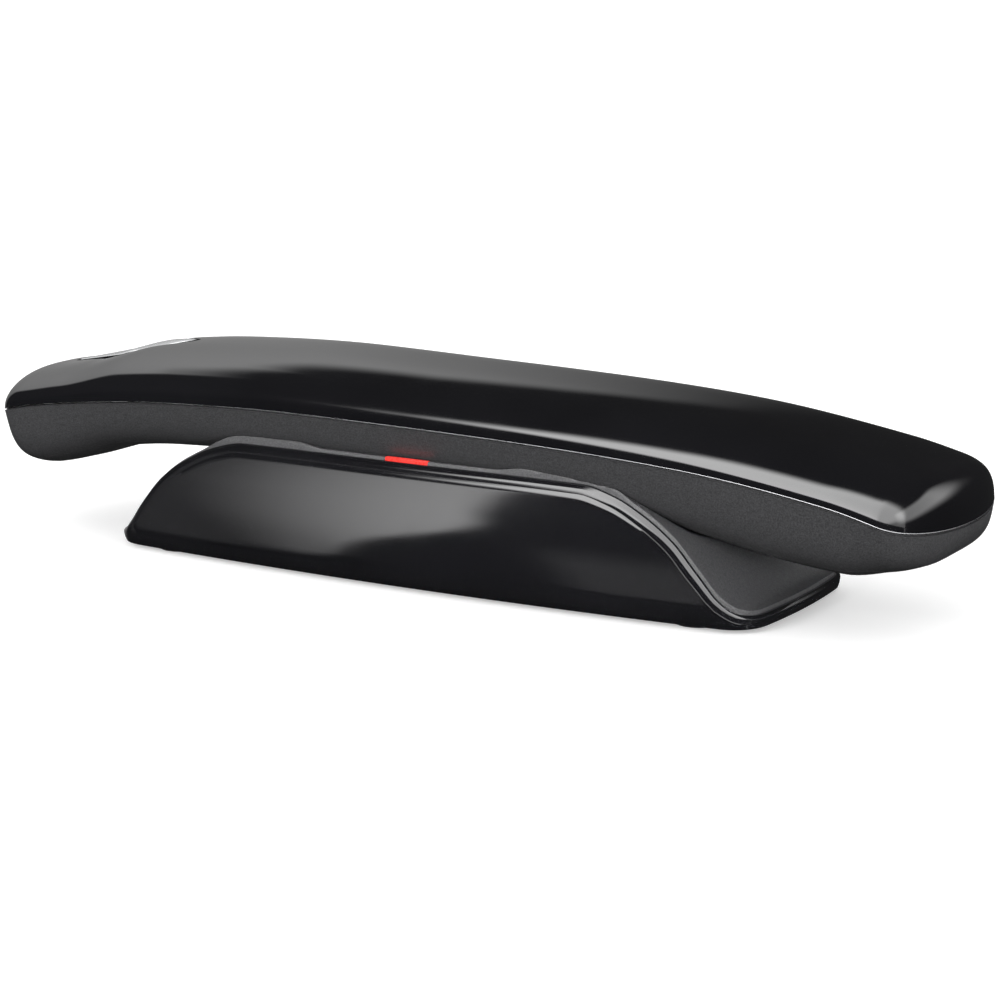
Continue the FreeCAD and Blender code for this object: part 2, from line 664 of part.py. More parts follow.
def contact_holder():
    floor, _ = spring_room()
    top = holder_top()
    block = rounded_box(PIN_PLACE, 0, 8.0, 2 * PIN_SPREAD + 8.0, BASE_BOARD_TOP + 0.05, top, 1.5)
    for side in (-1, 1):
        y = side * PIN_SPREAD
        block = block.cut(disc(PIN_PLACE, y, floor, top - 1.0, PIN_COLLAR + PIN_SLIT))
        block = block.cut(disc(PIN_PLACE, y, floor, top + 1.0, PIN_RADIUS + PIN_SLIT))
    return block


def lamp_profile(grow):
    """Bar let into the ledge at the middle of the front."""
    front = -(BASE_DEPTH / 2 + smooth_value(BASE_BULGE, arch(0))) + SHELL_WALL + COVER_SEAM + 0.1
    top = arch(0) + LEDGE_RISE
    points = [V(0, front - grow, top - 3.0 - grow), V(0, front + LAMP_DEPTH + grow, top - 3.0 - grow),
              V(0, front + LAMP_DEPTH + grow, top + 0.1 + 9 * grow), V(0, front - grow, top - 0.3 + 9 * grow)]
    face = Part.Face(Part.makePolygon(points + points[:1]))
    face.translate(V(-LAMP_LENGTH / 2 - grow, 0, 0))
    return face.extrude(V(LAMP_LENGTH + 2 * grow, 0, 0))


def base_shell():
    """Glossy ring: front panel, rear panel and the two low ends."""
    floor = box(-FAR, FAR, -FAR, FAR, -FAR, BASE_BOTTOM)
    ring = base_block(0.0).common(zone(arch, -20)).cut([base_block(SHELL_WALL), floor])
    holes = [socket_cutter(side) for side in (-1, 1)]
    holes.append(along_y(0, page_axis(), 15, 40, PAGE_RADIUS + PAGE_SLIT))
    return ring.cut(holes)


def cradle_cover():
    """Matte skin under the arch, with a bowl that follows the handset's lower half."""
    block = base_block(SHELL_WALL + COVER_SEAM)
    solid = block.common(zone(shoulder, -20))
    skin = solid.cut(zone(lambda x: arch(x) + LEDGE_RISE - COVER_SKIN, -20))
    bowl = handset_body(-CRADLE_CLEARANCE - CRADLE_WALL, -PIN_PLACE - 12, PIN_PLACE + 16)
    trough = handset_body(-CRADLE_CLEARANCE, -PIN_PLACE - 16, PIN_PLACE + 20)
    well = trough.copy()
    well.translate(V(0, 0, -KEY_WELL_DEPTH))
    reach = KEY_COLUMN + KEY_WIDTH / 2 + 1.2
    well = well.common(box(KEYPAD_START - KEY_LENGTH, KEYPAD_START + 5 * KEY_PITCH + KEY_LENGTH,
                           -reach, reach, 0, 40))
    pins = [disc(PIN_PLACE, side * PIN_SPREAD, 5, 40, PIN_RADIUS + PIN_SLIT) for side in (-1, 1)]
    floor = box(-FAR, FAR, -FAR, FAR, -FAR, COVER_FLOOR + COVER_SEAM)
    return skin.fuse(solid.common(bowl)).cut([trough, well, floor, lamp_profile(SKIN_GAP)] + pins)


def bottom_cover():
    """Plate with recesses for the feet and hollow posts that carry the circuit board."""
    block = base_block(SHELL_WALL + COVER_SEAM)
    plate = block.common(box(-FAR, FAR, -FAR, FAR, BASE_BOTTOM, COVER_FLOOR))
    recesses = [disc(x, y, 0, BASE_BOTTOM + FOOT_RECESS, FOOT_RADIUS + 0.1) for x, y in foot_places()]
    posts = [disc(x, y, COVER_FLOOR - 0.1, BASE_BOARD_LEVEL, POST_RADIUS) for x, y in base_screw_places()]
    holes = []
    for x, y in base_screw_places():
        holes.append(disc(x, y, 0, BASE_BOARD_LEVEL + 1, SCREW_RADIUS + 0.3))
        holes.append(disc(x, y, 0, BASE_BOTTOM + BASE_SCREW_RECESS, BASE_SCREW_HEAD + 0.3))
    return plate.fuse(posts).removeSplitter().cut(recesses + holes)


def foot_places():
    return [(sx * (BASE_LENGTH / 2 - FOOT_SIDE_INSET), sy * (BASE_DEPTH / 2 - FOOT_FRONT_INSET))
            for sx in (-1, 1) for sy in (-1, 1)]


def base_screw_places():
    return [(sx * (BASE_BOARD_LENGTH / 2 - BASE_SCREW_INSET), sy * (BASE_BOARD_DEPTH / 2 - BASE_SCREW_INSET))
            for sx in (-1, 1) for sy in (-1, 1)]


def rubber_feet():
    return Part.makeCompound([disc(x, y, 0, BASE_BOTTOM + FOOT_RECESS, FOOT_RADIUS)
                              for x, y in foot_places()])


def base_board():
    board = rounded_box(0, 0, BASE_BOARD_LENGTH, BASE_BOARD_DEPTH, BASE_BOARD_LEVEL, BASE_BOARD_TOP,
                        BOARD_CORNER)
    return board.cut([disc(x, y, 0, 40, SCREW_RADIUS + SCREW_CLEARANCE) for x, y in base_screw_places()])


def base_screws():
    screws = []
    for x, y in base_screw_places():
        seat = BASE_BOTTOM + BASE_SCREW_RECESS - 0.05
        head = disc(x, y, BASE_BOTTOM + 0.1, seat, BASE_SCREW_HEAD)
        shank = disc(x, y, seat, BASE_BOARD_TOP + 0.8, SCREW_RADIUS)
        cross = centred_box(x, y, 2 * BASE_SCREW_HEAD * 0.6, SCREW_SLOT, BASE_BOTTOM, BASE_BOTTOM + 0.5)
        screws.append(head.fuse(shank).removeSplitter().cut(cross))
    return Part.makeCompound(screws)


def base_antennas():
    """Two bent strips that stand on the board, one near each end."""
    strips = []
    for side in (-1, 1):
        x = side * (BASE_BOARD_LENGTH / 2 - 12.0)
        y = BASE_BOARD_DEPTH / 2 - 7.0
        top = BASE_BOARD_TOP + STRIP_HEIGHT
        upright = centred_box(x, y, STRIP_THICKNESS, STRIP_WIDTH, BASE_BOARD_TOP, top)
        flat = centred_box(x - side * STRIP_WIDTH / 2, y, STRIP_WIDTH, STRIP_WIDTH, top - STRIP_THICKNESS, top)
        strips.append(upright.fuse(flat).removeSplitter())
    return Part.makeCompound(strips)


# ---- the whole object -----------------------------------------------------------------
def build():
    nodes = {}
    outer, back, trim, front = handset_skins()
    nodes["handset_back_cover"], nodes["ringer_cap"] = back_and_cap(outer, back)
    nodes["trim_band"] = trim
    housing, plate, window, pads = front_and_plate(front)
    nodes["handset_front_housing"] = housing
    nodes["face_plate"] = plate
    nodes["display_window"] = window
    nodes["charge_pads"] = pads
    for name, x, y, length in key_places():
        nodes[name] = key_cap(x, y, length)
    nodes["keypad_mat"] = keypad_mat()
    nodes["handset_circuit_board"] = handset_board()
    nodes["handset_screws"] = handset_screws()
    nodes["handset_shield_can"] = shield_can(HANDSET_SHIELD_PLACE, 0, BOARD_TOP)
    nodes["handset_antenna"] = centred_box(BOARD_START + BOSS_INSET, 0, ANTENNA_WIDTH, ANTENNA_LENGTH,
                                           BOARD_TOP, BOARD_TOP + ANTENNA_HEIGHT)
    nodes["display_module"] = rounded_box(WINDOW_PLACE, 0, WINDOW_LENGTH, WINDOW_WIDTH + 1,
                                          BOARD_LEVEL - DISPLAY_HEIGHT - 0.1, BOARD_LEVEL - 0.1, 1.0)
    nodes["earpiece_speaker"] = seat_on_face(disc(0, 0, 0, EAR_HEIGHT, EAR_RADIUS), EAR_PLACE, 0.9)
    nodes["earpiece_mesh"] = seat_on_face(disc(0, 0, 0, EAR_MESH_THICKNESS, EAR_RADIUS), EAR_PLACE, 0.4)
    nodes["microphone"] = seat_on_face(disc(0, 0, 0, MIC_HEIGHT, MIC_RADIUS), MIC_PLACE, 0.3)
    ringer_top = back_level(RINGER_PLACE - RINGER_RADIUS, HANDSET_WALL) - 0.5
    nodes["ringer_speaker"] = disc(RINGER_PLACE, 0, ringer_top - RINGER_HEIGHT, ringer_top, RINGER_RADIUS)
    nodes["battery_cells"] = battery_cells()
    nodes["battery_holder"] = battery_holder()
    nodes["battery_contacts"] = battery_contacts()

    nodes["base_shell"] = base_shell()
    nodes["cradle_cover"] = cradle_cover()
    nodes["bottom_cover"] = bottom_cover()
    nodes["rubber_feet"] = rubber_feet()
    nodes["light_bar"] = lamp_profile(0.0)
    nodes["base_circuit_board"] = base_board()
    nodes["base_screws"] = base_screws()
    nodes["base_shield_can"] = shield_can(-SHIELD_LENGTH * 1.2, -BASE_BOARD_DEPTH / 9, BASE_BOARD_TOP)
    nodes["base_antennas"] = base_antennas()
    ballast_floor = COVER_FLOOR + 0.05
    nodes["ballast_plate"] = rounded_box(0, 0, BASE_BOARD_LENGTH - 20, BASE_BOARD_DEPTH - 4, ballast_floor,
                                         ballast_floor + BALLAST_THICKNESS, 3.0)
    nodes["power_socket"] = socket(1)
    nodes["line_socket"] = socket(-1)
    nodes["page_button"] = page_button()
    nodes["page_switch"] = page_switch()
    nodes["contact_holder"] = contact_holder()
    for label, side in (("front", -1), ("rear", 1)):
        nodes["charge_pin_" + label] = charge_pin(side)
        nodes["charge_spring_" + label] = charge_spring(side)
    return nodes


os.makedirs("parts", exist_ok=True)
for node, shape in build().items():
    solids = shape.Solids
    if not solids or not all(s.isValid() for s in solids):
        print("check this node:", node, len(solids))
    whole = solids[0] if len(solids) == 1 else Part.makeCompound(solids)
    whole.exportStep("parts/" + node + ".step")
    extent = whole.BoundBox
    print("%-24s solids %2d volume %9.1f  x %.2f..%.2f y %.2f..%.2f z %.2f..%.2f" % (
        node, len(solids), whole.Volume, extent.XMin, extent.XMax, extent.YMin, extent.YMax,
        extent.ZMin, extent.ZMax))
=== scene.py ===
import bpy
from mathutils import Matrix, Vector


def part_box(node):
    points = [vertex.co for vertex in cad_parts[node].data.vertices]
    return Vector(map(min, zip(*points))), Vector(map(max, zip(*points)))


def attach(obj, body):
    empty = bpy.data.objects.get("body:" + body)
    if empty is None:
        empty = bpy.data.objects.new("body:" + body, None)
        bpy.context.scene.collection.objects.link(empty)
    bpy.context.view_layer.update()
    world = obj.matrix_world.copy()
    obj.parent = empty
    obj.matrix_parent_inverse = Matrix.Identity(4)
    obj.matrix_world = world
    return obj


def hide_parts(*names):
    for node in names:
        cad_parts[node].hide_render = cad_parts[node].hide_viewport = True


bl_info = {
    "name": "Cordless Phone in Its Charging Base",
    "version": (1, 0, 0),
    "blender": (4, 5, 0),
    "location": "View3D > Sidebar > Phone",
    "description": "Skins, keys, trim and light of a cordless phone, built round its fixed frame",
    "category": "Object",
}

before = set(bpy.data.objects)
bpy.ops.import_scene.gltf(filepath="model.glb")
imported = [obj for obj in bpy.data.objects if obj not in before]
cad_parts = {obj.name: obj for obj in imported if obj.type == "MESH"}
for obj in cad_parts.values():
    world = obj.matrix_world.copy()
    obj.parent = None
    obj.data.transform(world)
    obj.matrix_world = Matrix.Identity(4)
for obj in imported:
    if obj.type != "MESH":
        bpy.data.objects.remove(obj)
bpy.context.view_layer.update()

import math

import bmesh
import bpy
from bpy.props import FloatProperty, FloatVectorProperty, PointerProperty
from mathutils import Matrix, Vector

MM = 0.001
EAR_SLOT_WIDTH = 1.2      # millimetres, as are the next two
EAR_SLOT_LENGTH = 8.0     # of the middle slot; each next one is 1 shorter
EAR_SLOT_PITCH = 2.4
UP = Vector((0, 0, 1))
BACKWARD = Vector((0, 1, 0))

# Stations along the handset: share of the half length, then millimetres.
PARTING_LINE = ((-1.0, 26.2), (-0.82, 29.8), (-0.55, 32.7), (-0.27, 33.6), (0.0, 33.3),
                (0.27, 32.6), (0.55, 31.0), (0.82, 27.2), (1.0, 22.1))
BACK_HEIGHT = ((-1.0, 7.6), (-0.9, 7.1), (-0.82, 7.4), (-0.68, 9.6), (-0.45, 9.8),
               (0.0, 9.1), (0.45, 8.8), (0.82, 8.0), (1.0, 8.4))
FRONT_DEPTH = ((-1.0, 6.5), (-0.965, 11.0), (-0.93, 13.8), (-0.89, 14.8), (-0.82, 14.1),
               (-0.71, 11.8), (-0.6, 11.4), (0.0, 11.4),
               (0.27, 11.8), (0.45, 13.4), (0.59, 15.6), (0.7, 16.4), (0.82, 15.6),
               (0.91, 11.4), (1.0, 5.6))
# Side panels of the base: height, then how far they stand out, in millimetres.
BASE_BULGE = ((0.8, 0.0), (3.0, 1.5), (6.0, 2.4), (12.0, 2.8), (18.0, 2.4), (22.0, 1.6),
              (26.0, 0.3), (29.0, -1.2))
# Top edge of the base: share of the half length, then height in millimetres.
BASE_ARCH = ((0.0, 26.2), (0.3, 26.2), (0.53, 26.0), (0.62, 24.5), (0.715, 21.2), (0.795, 17.0),
             (0.86, 11.6), (0.92, 6.4), (0.965, 4.0), (1.0, 3.4))
BACK_POWER = 2.53            # squareness of the domed back's section


def length_of(node, axis):
    low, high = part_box(node)
    return high[axis] - low[axis]


def centre_of(node):
    low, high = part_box(node)
    return (low + high) / 2


# ---- sizes and colours ----------------------------------------------------------------
def size(label, text, default):
    return FloatProperty(name=label, description=text, default=default, unit="LENGTH", precision=5)


def share(label, text, default):
    return FloatProperty(name=label, description=text, default=default, min=0.0, max=1.0, subtype="FACTOR")


def colour(label, text, default):
    return FloatVectorProperty(name=label, description=text, default=default, size=3, min=0.0, max=1.0,
                               subtype="COLOR")


class HandsetSizes(bpy.types.PropertyGroup):
    """Sizes of the handset's skins."""
    length: size("Length", "Overall length of the handset", length_of("trim_band", 0) + 0.3 * MM)
    width: size("Width", "Overall width of the handset", length_of("trim_band", 1))
    wall: size("Wall", "Thickness of the two covers", 1.8 * MM)
    end_round: size("End rounding", "Depth of the rounded ends, seen from above", 9.4 * MM)
    end_lip: size("End lip", "Depth of the rounding of each end, seen from the side", 4.5 * MM)
    front_taper: share("Front taper", "How much the matte half narrows towards its face", 0.16)
    trim_height: size("Trim height", "Bright line along the parting", 0.3 * MM)
    shadow_gap: size("Shadow gap", "Dark groove under the bright line", 0.4 * MM)
    lip_inset: size("Lip inset", "Depth of that groove", 0.5 * MM)
    plate_margin: size("Plate margin", "How far the face plate stops inside the outline", 6.8 * MM)
    plate_corner: size("Plate corner", "Corner radius of the face plate", 8.0 * MM)
    seam: size("Seam", "Gap round the face plate, the window and the contacts", 0.12 * MM)
    cap_inset: size("Cap inset", "From the end to the tip of the ringer cap", 5.0 * MM)
    cap_length: size("Cap length", "Length of the kite-shaped ringer cap", 36.5 * MM)
    cap_shoulder: size("Cap shoulder", "From the cap's tip to its widest place", 23.5 * MM)
    cap_width: size("Cap width", "Widest place of the ringer cap", 20.0 * MM)
    cap_groove: size("Cap groove", "Width of the groove round the cap", 1.2 * MM)
    cap_depth: size("Cap depth", "Depth of the groove round the cap", 1.0 * MM)


class KeySizes(bpy.types.PropertyGroup):
    """Sizes of the keys and their marks."""
    flange: size("Flange", "Hidden rim round each key", 0.7 * MM)
    slit: size("Slit", "Gap between a key and the plate", 0.25 * MM)
    corner: size("Corner", "Corner radius of a key, seen from its face", 2.2 * MM)
    edge: size("Edge", "Rounding of a key's visible edge", 0.45 * MM)
    digit: size("Digit", "Height of the digits", 4.4 * MM)
    print_depth: size("Print", "How far a mark stands proud of its key", 0.03 * MM)


class BaseSizes(bpy.types.PropertyGroup):
    """Sizes of the charging base."""
    length: size("Length", "Length of the base at the table", 151.0 * MM)
    depth: size("Depth", "Depth of the base at the table", 52.4 * MM)
    bow: size("Bow", "How far the long sides bow outwards", 2.8 * MM)
    end_bow: size("End bow", "How far the ends bow outwards", 0.8 * MM)
    corner: size("Corner", "Corner radius, seen from above", 7.0 * MM)
    bottom: size("Bottom", "Height of the side panels' lower edge", 0.8 * MM)
    wall: size("Wall", "Thickness of the side panels", 1.5 * MM)
    seam: size("Seam", "Gap between the panels and the cradle", 0.15 * MM)
    end_bulge: share("End bulge", "How much of the panels' bulge the ends have", 0.4)
    roll: size("Roll", "Height of the rolled band under the rim", 1.75 * MM)
    bead: size("Bead", "How far the sloping bead on the rim leans inwards", 0.42 * MM)
    ledge: size("Ledge", "Rise of the cradle over the rim", 0.5 * MM)
    shoulder: size("Shoulder", "Further rise of the cradle's two shoulders", 0.9 * MM)
    shoulder_inner: size("Shoulder inner", "Where a shoulder starts, from the middle", 20.0 * MM)
    shoulder_outer: size("Shoulder outer", "Where a shoulder ends, from the middle", 44.0 * MM)
    shoulder_ramp: size("Shoulder ramp", "Length of a shoulder's ramp", 7.0 * MM)
    clearance: size("Clearance", "Gap between the handset and its cradle", 0.4 * MM)
    well: size("Key well", "Extra depth of the cradle under the keys", 1.0 * MM)


class FinishColours(bpy.types.PropertyGroup):
    """Colours of the finishes."""
    gloss: colour("Gloss black", "Polished covers", (0.006, 0.006, 0.007))
    matte: colour("Matte black", "Fine-textured lower half and cradle", (0.046, 0.046, 0.048))
    trim: colour("Trim", "Bright line along the parting", (0.31, 0.31, 0.32))
    cap: colour("Cap", "Ringer cap", (0.62, 0.63, 0.64))
    key: colour("Key", "Key caps", (0.045, 0.045, 0.05))
    mark: colour("Mark", "Digits and signs on the keys", (0.75, 0.76, 0.78))
    talk: colour("Talk", "Sign on the talk key", (0.06, 0.55, 0.12))
    hang_up: colour("End", "Sign on the end key", (0.72, 0.05, 0.04))
    lamp: colour("Lamp", "Lit bar in the base", (1.0, 0.045, 0.035))
    board: colour("Board", "Solder mask of the circuit boards", (0.02, 0.15, 0.07))
    brass: colour("Contact", "Plated contacts", (0.83, 0.63, 0.30))
    steel: colour("Steel", "Screws, cans and springs", (0.60, 0.60, 0.62))
    inner: colour("Inner plastic", "Moulded parts inside", (0.10, 0.10, 0.11))
    rubber: colour("Rubber", "Feet", (0.022, 0.022, 0.023))
    sheet: colour("Keypad sheet", "Rubber sheet behind the keys", (0.28, 0.28, 0.29))
    display: colour("Display", "Display module", (0.30, 0.34, 0.31))
    cell: colour("Cell", "Sleeve of the battery cells", (0.10, 0.26, 0.16))
    floor: colour("Floor", "Table top", (0.86, 0.86, 0.86))


class StageSizes(bpy.types.PropertyGroup):
    """Camera and studio."""
    azimuth: FloatProperty(name="Azimuth", description="Camera's turn round the object",
                           default=math.radians(30.35), subtype="ANGLE")
    elevation: FloatProperty(name="Elevation", description="Camera's height over the horizon",
                             default=math.radians(12.07), subtype="ANGLE")
    distance: size("Distance", "From the camera to the point it looks at", 555.9 * MM)
    lens: FloatProperty(name="Lens", description="Focal length in millimetres on a 36 mm sensor",
                        default=97.2, subtype="DISTANCE_CAMERA")
    target: FloatVectorProperty(name="Target", description="Point the camera looks at",
                                default=(7.3 * MM, 0.0, 17.8 * MM), subtype="TRANSLATION")
    lift: FloatProperty(name="Lift", description="Vertical shift of the picture", default=-0.015)
    key_power: FloatProperty(name="Key light", description="Power of the key light in watts", default=17.0,
                             min=0.0)


# ---- curves ---------------------------------------------------------------------------
def smooth_value(stations, t):
    """Value at t of a smooth curve through the stations, without overshoot."""
    places = [station[0] for station in stations]
    values = [station[1] for station in stations]
    if t <= places[0]:
        return values[0]
    if t >= places[-1]:
        return values[-1]
    steps = [(values[i + 1] - values[i]) / (places[i + 1] - places[i])
             for i in range(len(places) - 1)]
    slopes = [steps[0]]
    for before, after in zip(steps, steps[1:]):
        slopes.append(0.0 if before * after <= 0 else 2 * before * after / (before + after))
    slopes.append(steps[-1])
    i = max(k for k in range(len(steps)) if places[k] <= t)
    span = places[i + 1] - places[i]
    u = (t - places[i]) / span
    return ((1 + 2 * u) * (1 - u) ** 2 * values[i] + u * (1 - u) ** 2 * span * slopes[i]
            + u * u * (3 - 2 * u) * values[i + 1] + u * u * (u - 1) * span * slopes[i + 1])


def spaced(start, end, count):
    return [start + (end - start) * i / (count - 1) for i in range(count)]


def eased(t):
    t = max(0.0, min(1.0, t))
    return t * t * (3 - 2 * t)


def rounded_outline(corners, radii, segments=6):
    """Convex outline with round corners, as points at the corners' own height."""
    points = []
    count = len(corners)
    for i, corner in enumerate(corners):
        before = (corners[i - 1] - corner).normalized()
        after = (corners[(i + 1) % count] - corner).normalized()
        half = before.angle(after) / 2
        centre = corner + (before + after).normalized() * (radii[i] / math.sin(half))
        start = corner + before * (radii[i] / math.tan(half)) - centre
        end = corner + after * (radii[i] / math.tan(half)) - centre
        for k in range(segments + 1):
            turn = start.angle(end)
            u = k / segments
            spoke = (start * math.sin((1 - u) * turn) + end * math.sin(u * turn)) / math.sin(turn)
            points.append(centre + spoke)
    return points


def rounded_rectangle(x, y, length, width, radius, segments=6):
    corners = [Vector((x + sx * length / 2, y + sy * width / 2, 0))
               for sx, sy in ((-1, -1), (1, -1), (1, 1), (-1, 1))]
    return rounded_outline(corners, [radius] * 4, segments)


def circle_outline(x, y, radius, segments=20):
    return [Vector((x + radius * math.cos(2 * math.pi * k / segments),
                    y + radius * math.sin(2 * math.pi * k / segments), 0)) for k in range(segments)]


# ---- the handset's form ---------------------------------------------------------------
class HandsetForm:
    """The handset's surfaces, as sections along X."""

    def __init__(self, sizes):
        self.half_length = sizes.length / 2
        self.half_width = sizes.width / 2
        self.end_round = sizes.end_round
        self.end_lip = sizes.end_lip
        self.taper = sizes.front_taper

    def parting(self, x):
        return smooth_value(PARTING_LINE, x / self.half_length) * MM

    def drop(self, x):
        return smooth_value(FRONT_DEPTH, x / self.half_length) * MM

    def rise(self, x):
        return smooth_value(BACK_HEIGHT, x / self.half_length) * MM

    def end_factor(self, x, depth, inset):
        """1 along the handset, falling to 0 over the last stretch like a quarter ellipse."""
        over = (abs(x) - self.half_length + depth) / (depth - inset)
        return 1.0 if over <= 0 else math.sqrt(max(0.0, 1 - over * over))

    def half_width_at(self, x, inset=0.0):
        return (self.half_width - inset) * self.end_factor(x, self.end_round, inset)

    def places(self, inset=0.0, step=1.3 * MM, end_steps=26):
        """Places of the sections: even along the middle, closing up towards each end."""
        start = self.half_length - self.end_round
        count = round(2 * start / step)
        middle = spaced(-start, start, count + 1)
        end = [start + self.end_round * math.sin(math.pi / 2 * k / end_steps)
               for k in range(1, end_steps + 1)]
        return [x * (1 - inset / self.half_length) for x in [-e for e in reversed(end)] + middle + end]

    def section(self, x, inset):
        """Place, parting height, half width, back height and front depth, moved inwards by inset."""
        x = x * (1 - inset / self.half_length)
        lip = self.end_factor(x, self.end_lip, inset)
        return (x, self.parting(x), self.half_width_at(x, inset),
                (self.rise(x) - inset) * lip, (self.drop(x) - inset) * lip)

    def back(self, x, inset, count=56, lift=0.0):
        """Points of the domed back, from the front side over the top to the rear side."""
        x, parting, width, rise, _ = self.section(x, inset)
        points = []
        for k in range(count + 1):
            angle = math.pi * k / count
            across = width * abs(math.cos(angle)) ** (2 / BACK_POWER)
            y = -across if angle < math.pi / 2 else across
            points.append(Vector((x, y, parting + lift + (rise - lift) * math.sin(angle))))
        return points

    def front(self, x, inset, count=60, sink=0.0):
        """Points of the tapered front, from the front side under the face to the rear side."""
        x, parting, width, _, drop = self.section(x, inset)
        points = []
        for k in range(count + 1):
            t = 2 * k / count
            angle = math.pi / 2 * eased(t if t <= 1 else 2 - t)
            down = math.sin(angle) ** 0.5
            across = width * (1 - self.taper * down) * abs(math.cos(angle)) ** 0.5
            y = -across if t <= 1 else across
            points.append(Vector((x, y, parting - sink - max(0.0, drop - sink) * down)))
        return points

    def back_level(self, x, y):
        width = self.half_width_at(x)
        lip = self.end_factor(x, self.end_lip, 0.0)
        share_out = min(1.0, abs(y) / width)
        return self.parting(x) + self.rise(x) * lip * math.sqrt(1 - share_out ** BACK_POWER)

    def front_share(self, across):
        """Share of the front's depth at a share of its half width."""
        low, high = 0.0, math.pi / 2
        for _ in range(26):
            angle = (low + high) / 2
            out = (1 - self.taper * math.sin(angle) ** 0.5) * math.cos(angle) ** 0.5
            low, high = (angle, high) if out > across else (low, angle)
        return math.sin(low) ** 0.5


# ---- the base's form ------------------------------------------------------------------
class BaseForm:
    """The base's side panels and its arched top edge."""
    LONG = 150
    ROUND = 10
    SHORT = 30

    def __init__(self, sizes):
        self.sizes = sizes
        self.half_length = sizes.length / 2

    def arch(self, x):
        return smooth_value(BASE_ARCH, abs(x) / self.half_length) * MM

    def bulge(self, z):
        return smooth_value(BASE_BULGE, z / MM) * MM

    def quarter(self, z, inset):
        """Half length, half depth, corner centre and radius of the outline at a height."""
        s = self.sizes
        bulge = self.bulge(z)
        half_length = self.half_length + s.end_bulge * bulge - inset
        half_depth = s.depth / 2 + bulge - inset
        radius = s.corner + bulge - inset
        side = half_depth - s.bow
        return half_length, half_depth, half_length - radius, side - radius, side, radius

    def inner_half_depth(self, x, z, inset):
        """Half depth of the outline at a place along it."""
        half_length, half_depth, corner_x, corner_y, side, radius = self.quarter(z, inset)
        if abs(x) <= corner_x:
            return half_depth - self.sizes.bow * (x / corner_x) ** 2
        over = min(1.0, (abs(x) - corner_x) / radius)
        return corner_y + radius * math.sqrt(max(0.0, 1 - over * over))

    def station(self, index, z, inset):
        """Point of the outline with that index at a height; every height has the same stations."""
        half_length, half_depth, corner_x, corner_y, side, radius = self.quarter(z, inset)
        s = self.sizes
        quarter = index % (self.LONG + 2 * self.ROUND + self.SHORT)
        flip = -1 if index >= self.LONG + 2 * self.ROUND + self.SHORT else 1
        if quarter < self.LONG:
            u = 2 * quarter / self.LONG - 1
            place = Vector((corner_x * u, -(half_depth - s.bow * u * u), z))
        elif quarter < self.LONG + self.ROUND:
            place = self.corner((quarter - self.LONG) / self.ROUND, corner_x, corner_y, side,
                                half_length, -1, z)
        elif quarter < self.LONG + self.ROUND + self.SHORT:
            u = 2 * (quarter - self.LONG - self.ROUND) / self.SHORT - 1
            place = Vector((half_length + s.end_bow * (1 - u * u), corner_y * u, z))
        else:
            u = (quarter - self.LONG - self.ROUND - self.SHORT) / self.ROUND
            place = self.corner(1 - u, corner_x, corner_y, side, half_length, 1, z)
        return Vector((flip * place.x, flip * place.y, z))

    def corner(self, u, corner_x, corner_y, side, half_length, hand, z):
        """Round corner that meets the bowed side and the bowed end without a crease."""
        s = self.sizes
        radius = half_length - corner_x
        start = Vector((corner_x, side))
        end = Vector((half_length, corner_y))
        leave = Vector((1.0, -2 * s.bow / corner_x)).normalized()
        arrive = Vector((2 * s.end_bow / corner_y, -1.0)).normalized()
        reach = 0.5523 * radius
        a = start + leave * reach
        b = end - arrive * reach
        point = (start * (1 - u) ** 3 + a * 3 * u * (1 - u) ** 2 + b * 3 * u * u * (1 - u) + end * u ** 3)
        return Vector((point.x, hand * point.y, z))

    def stations(self):
        return range(2 * (self.LONG + 2 * self.ROUND + self.SHORT))

    def rim(self, index, inset=0.0):
        """Point of the top edge at a station."""
        z = self.arch(0)
        for _ in range(12):
            z = (z + self.arch(self.station(index, z, inset).x)) / 2
        return self.station(index, z, inset)

    def top(self, x):
        """Level of the cradle: the ledge, and over it the two shoulders."""
        s = self.sizes
        into = (abs(x) - s.shoulder_inner) / s.shoulder_ramp
        out = (s.shoulder_outer + s.shoulder_ramp - abs(x)) / s.shoulder_ramp
        return self.arch(x) + s.ledge + s.shoulder * eased(min(into, out))


# ---- mesh helpers ---------------------------------------------------------------------
def bent_grid(rings):
    """A grid bent into shape: each row of it becomes one ring of points. Coinciding edges are joined."""
    bm = bmesh.new()
    along, across = len(rings) - 1, len(rings[0]) - 1
    bmesh.ops.create_grid(bm, x_segments=along, y_segments=across, size=1.0)
    for vert in bm.verts:
        row = round((vert.co.x + 1) / 2 * along)
        column = round((vert.co.y + 1) / 2 * across)
        vert.co = rings[row][column]
    bmesh.ops.remove_doubles(bm, verts=bm.verts, dist=0.5e-6)
    bmesh.ops.recalc_face_normals(bm, faces=bm.faces)
    return bm


def looped(points):
    return points + points[:1]


def prism_sides(outline, axis):
    """A point and the outward normal of each side of a convex outline drawn out along an axis."""
    centre = sum(outline, Vector()) / len(outline)
    sides = []
    for start, end in zip(outline, looped(outline)[1:]):
        outward = (end - start).cross(axis).normalized()
        if outward.dot(start - centre) < 0:
            outward.negate()
        sides.append((start, outward))
    return sides


def close_rims(bm):
    """Joins the two open edges that a cut leaves on the outer and the inner skin."""
    open_edges = [edge for edge in bm.edges if edge.is_boundary]
    bmesh.ops.bridge_loops(bm, edges=open_edges)
    if any(edge.is_boundary for edge in bm.edges):
        raise RuntimeError("a cut left an open edge")


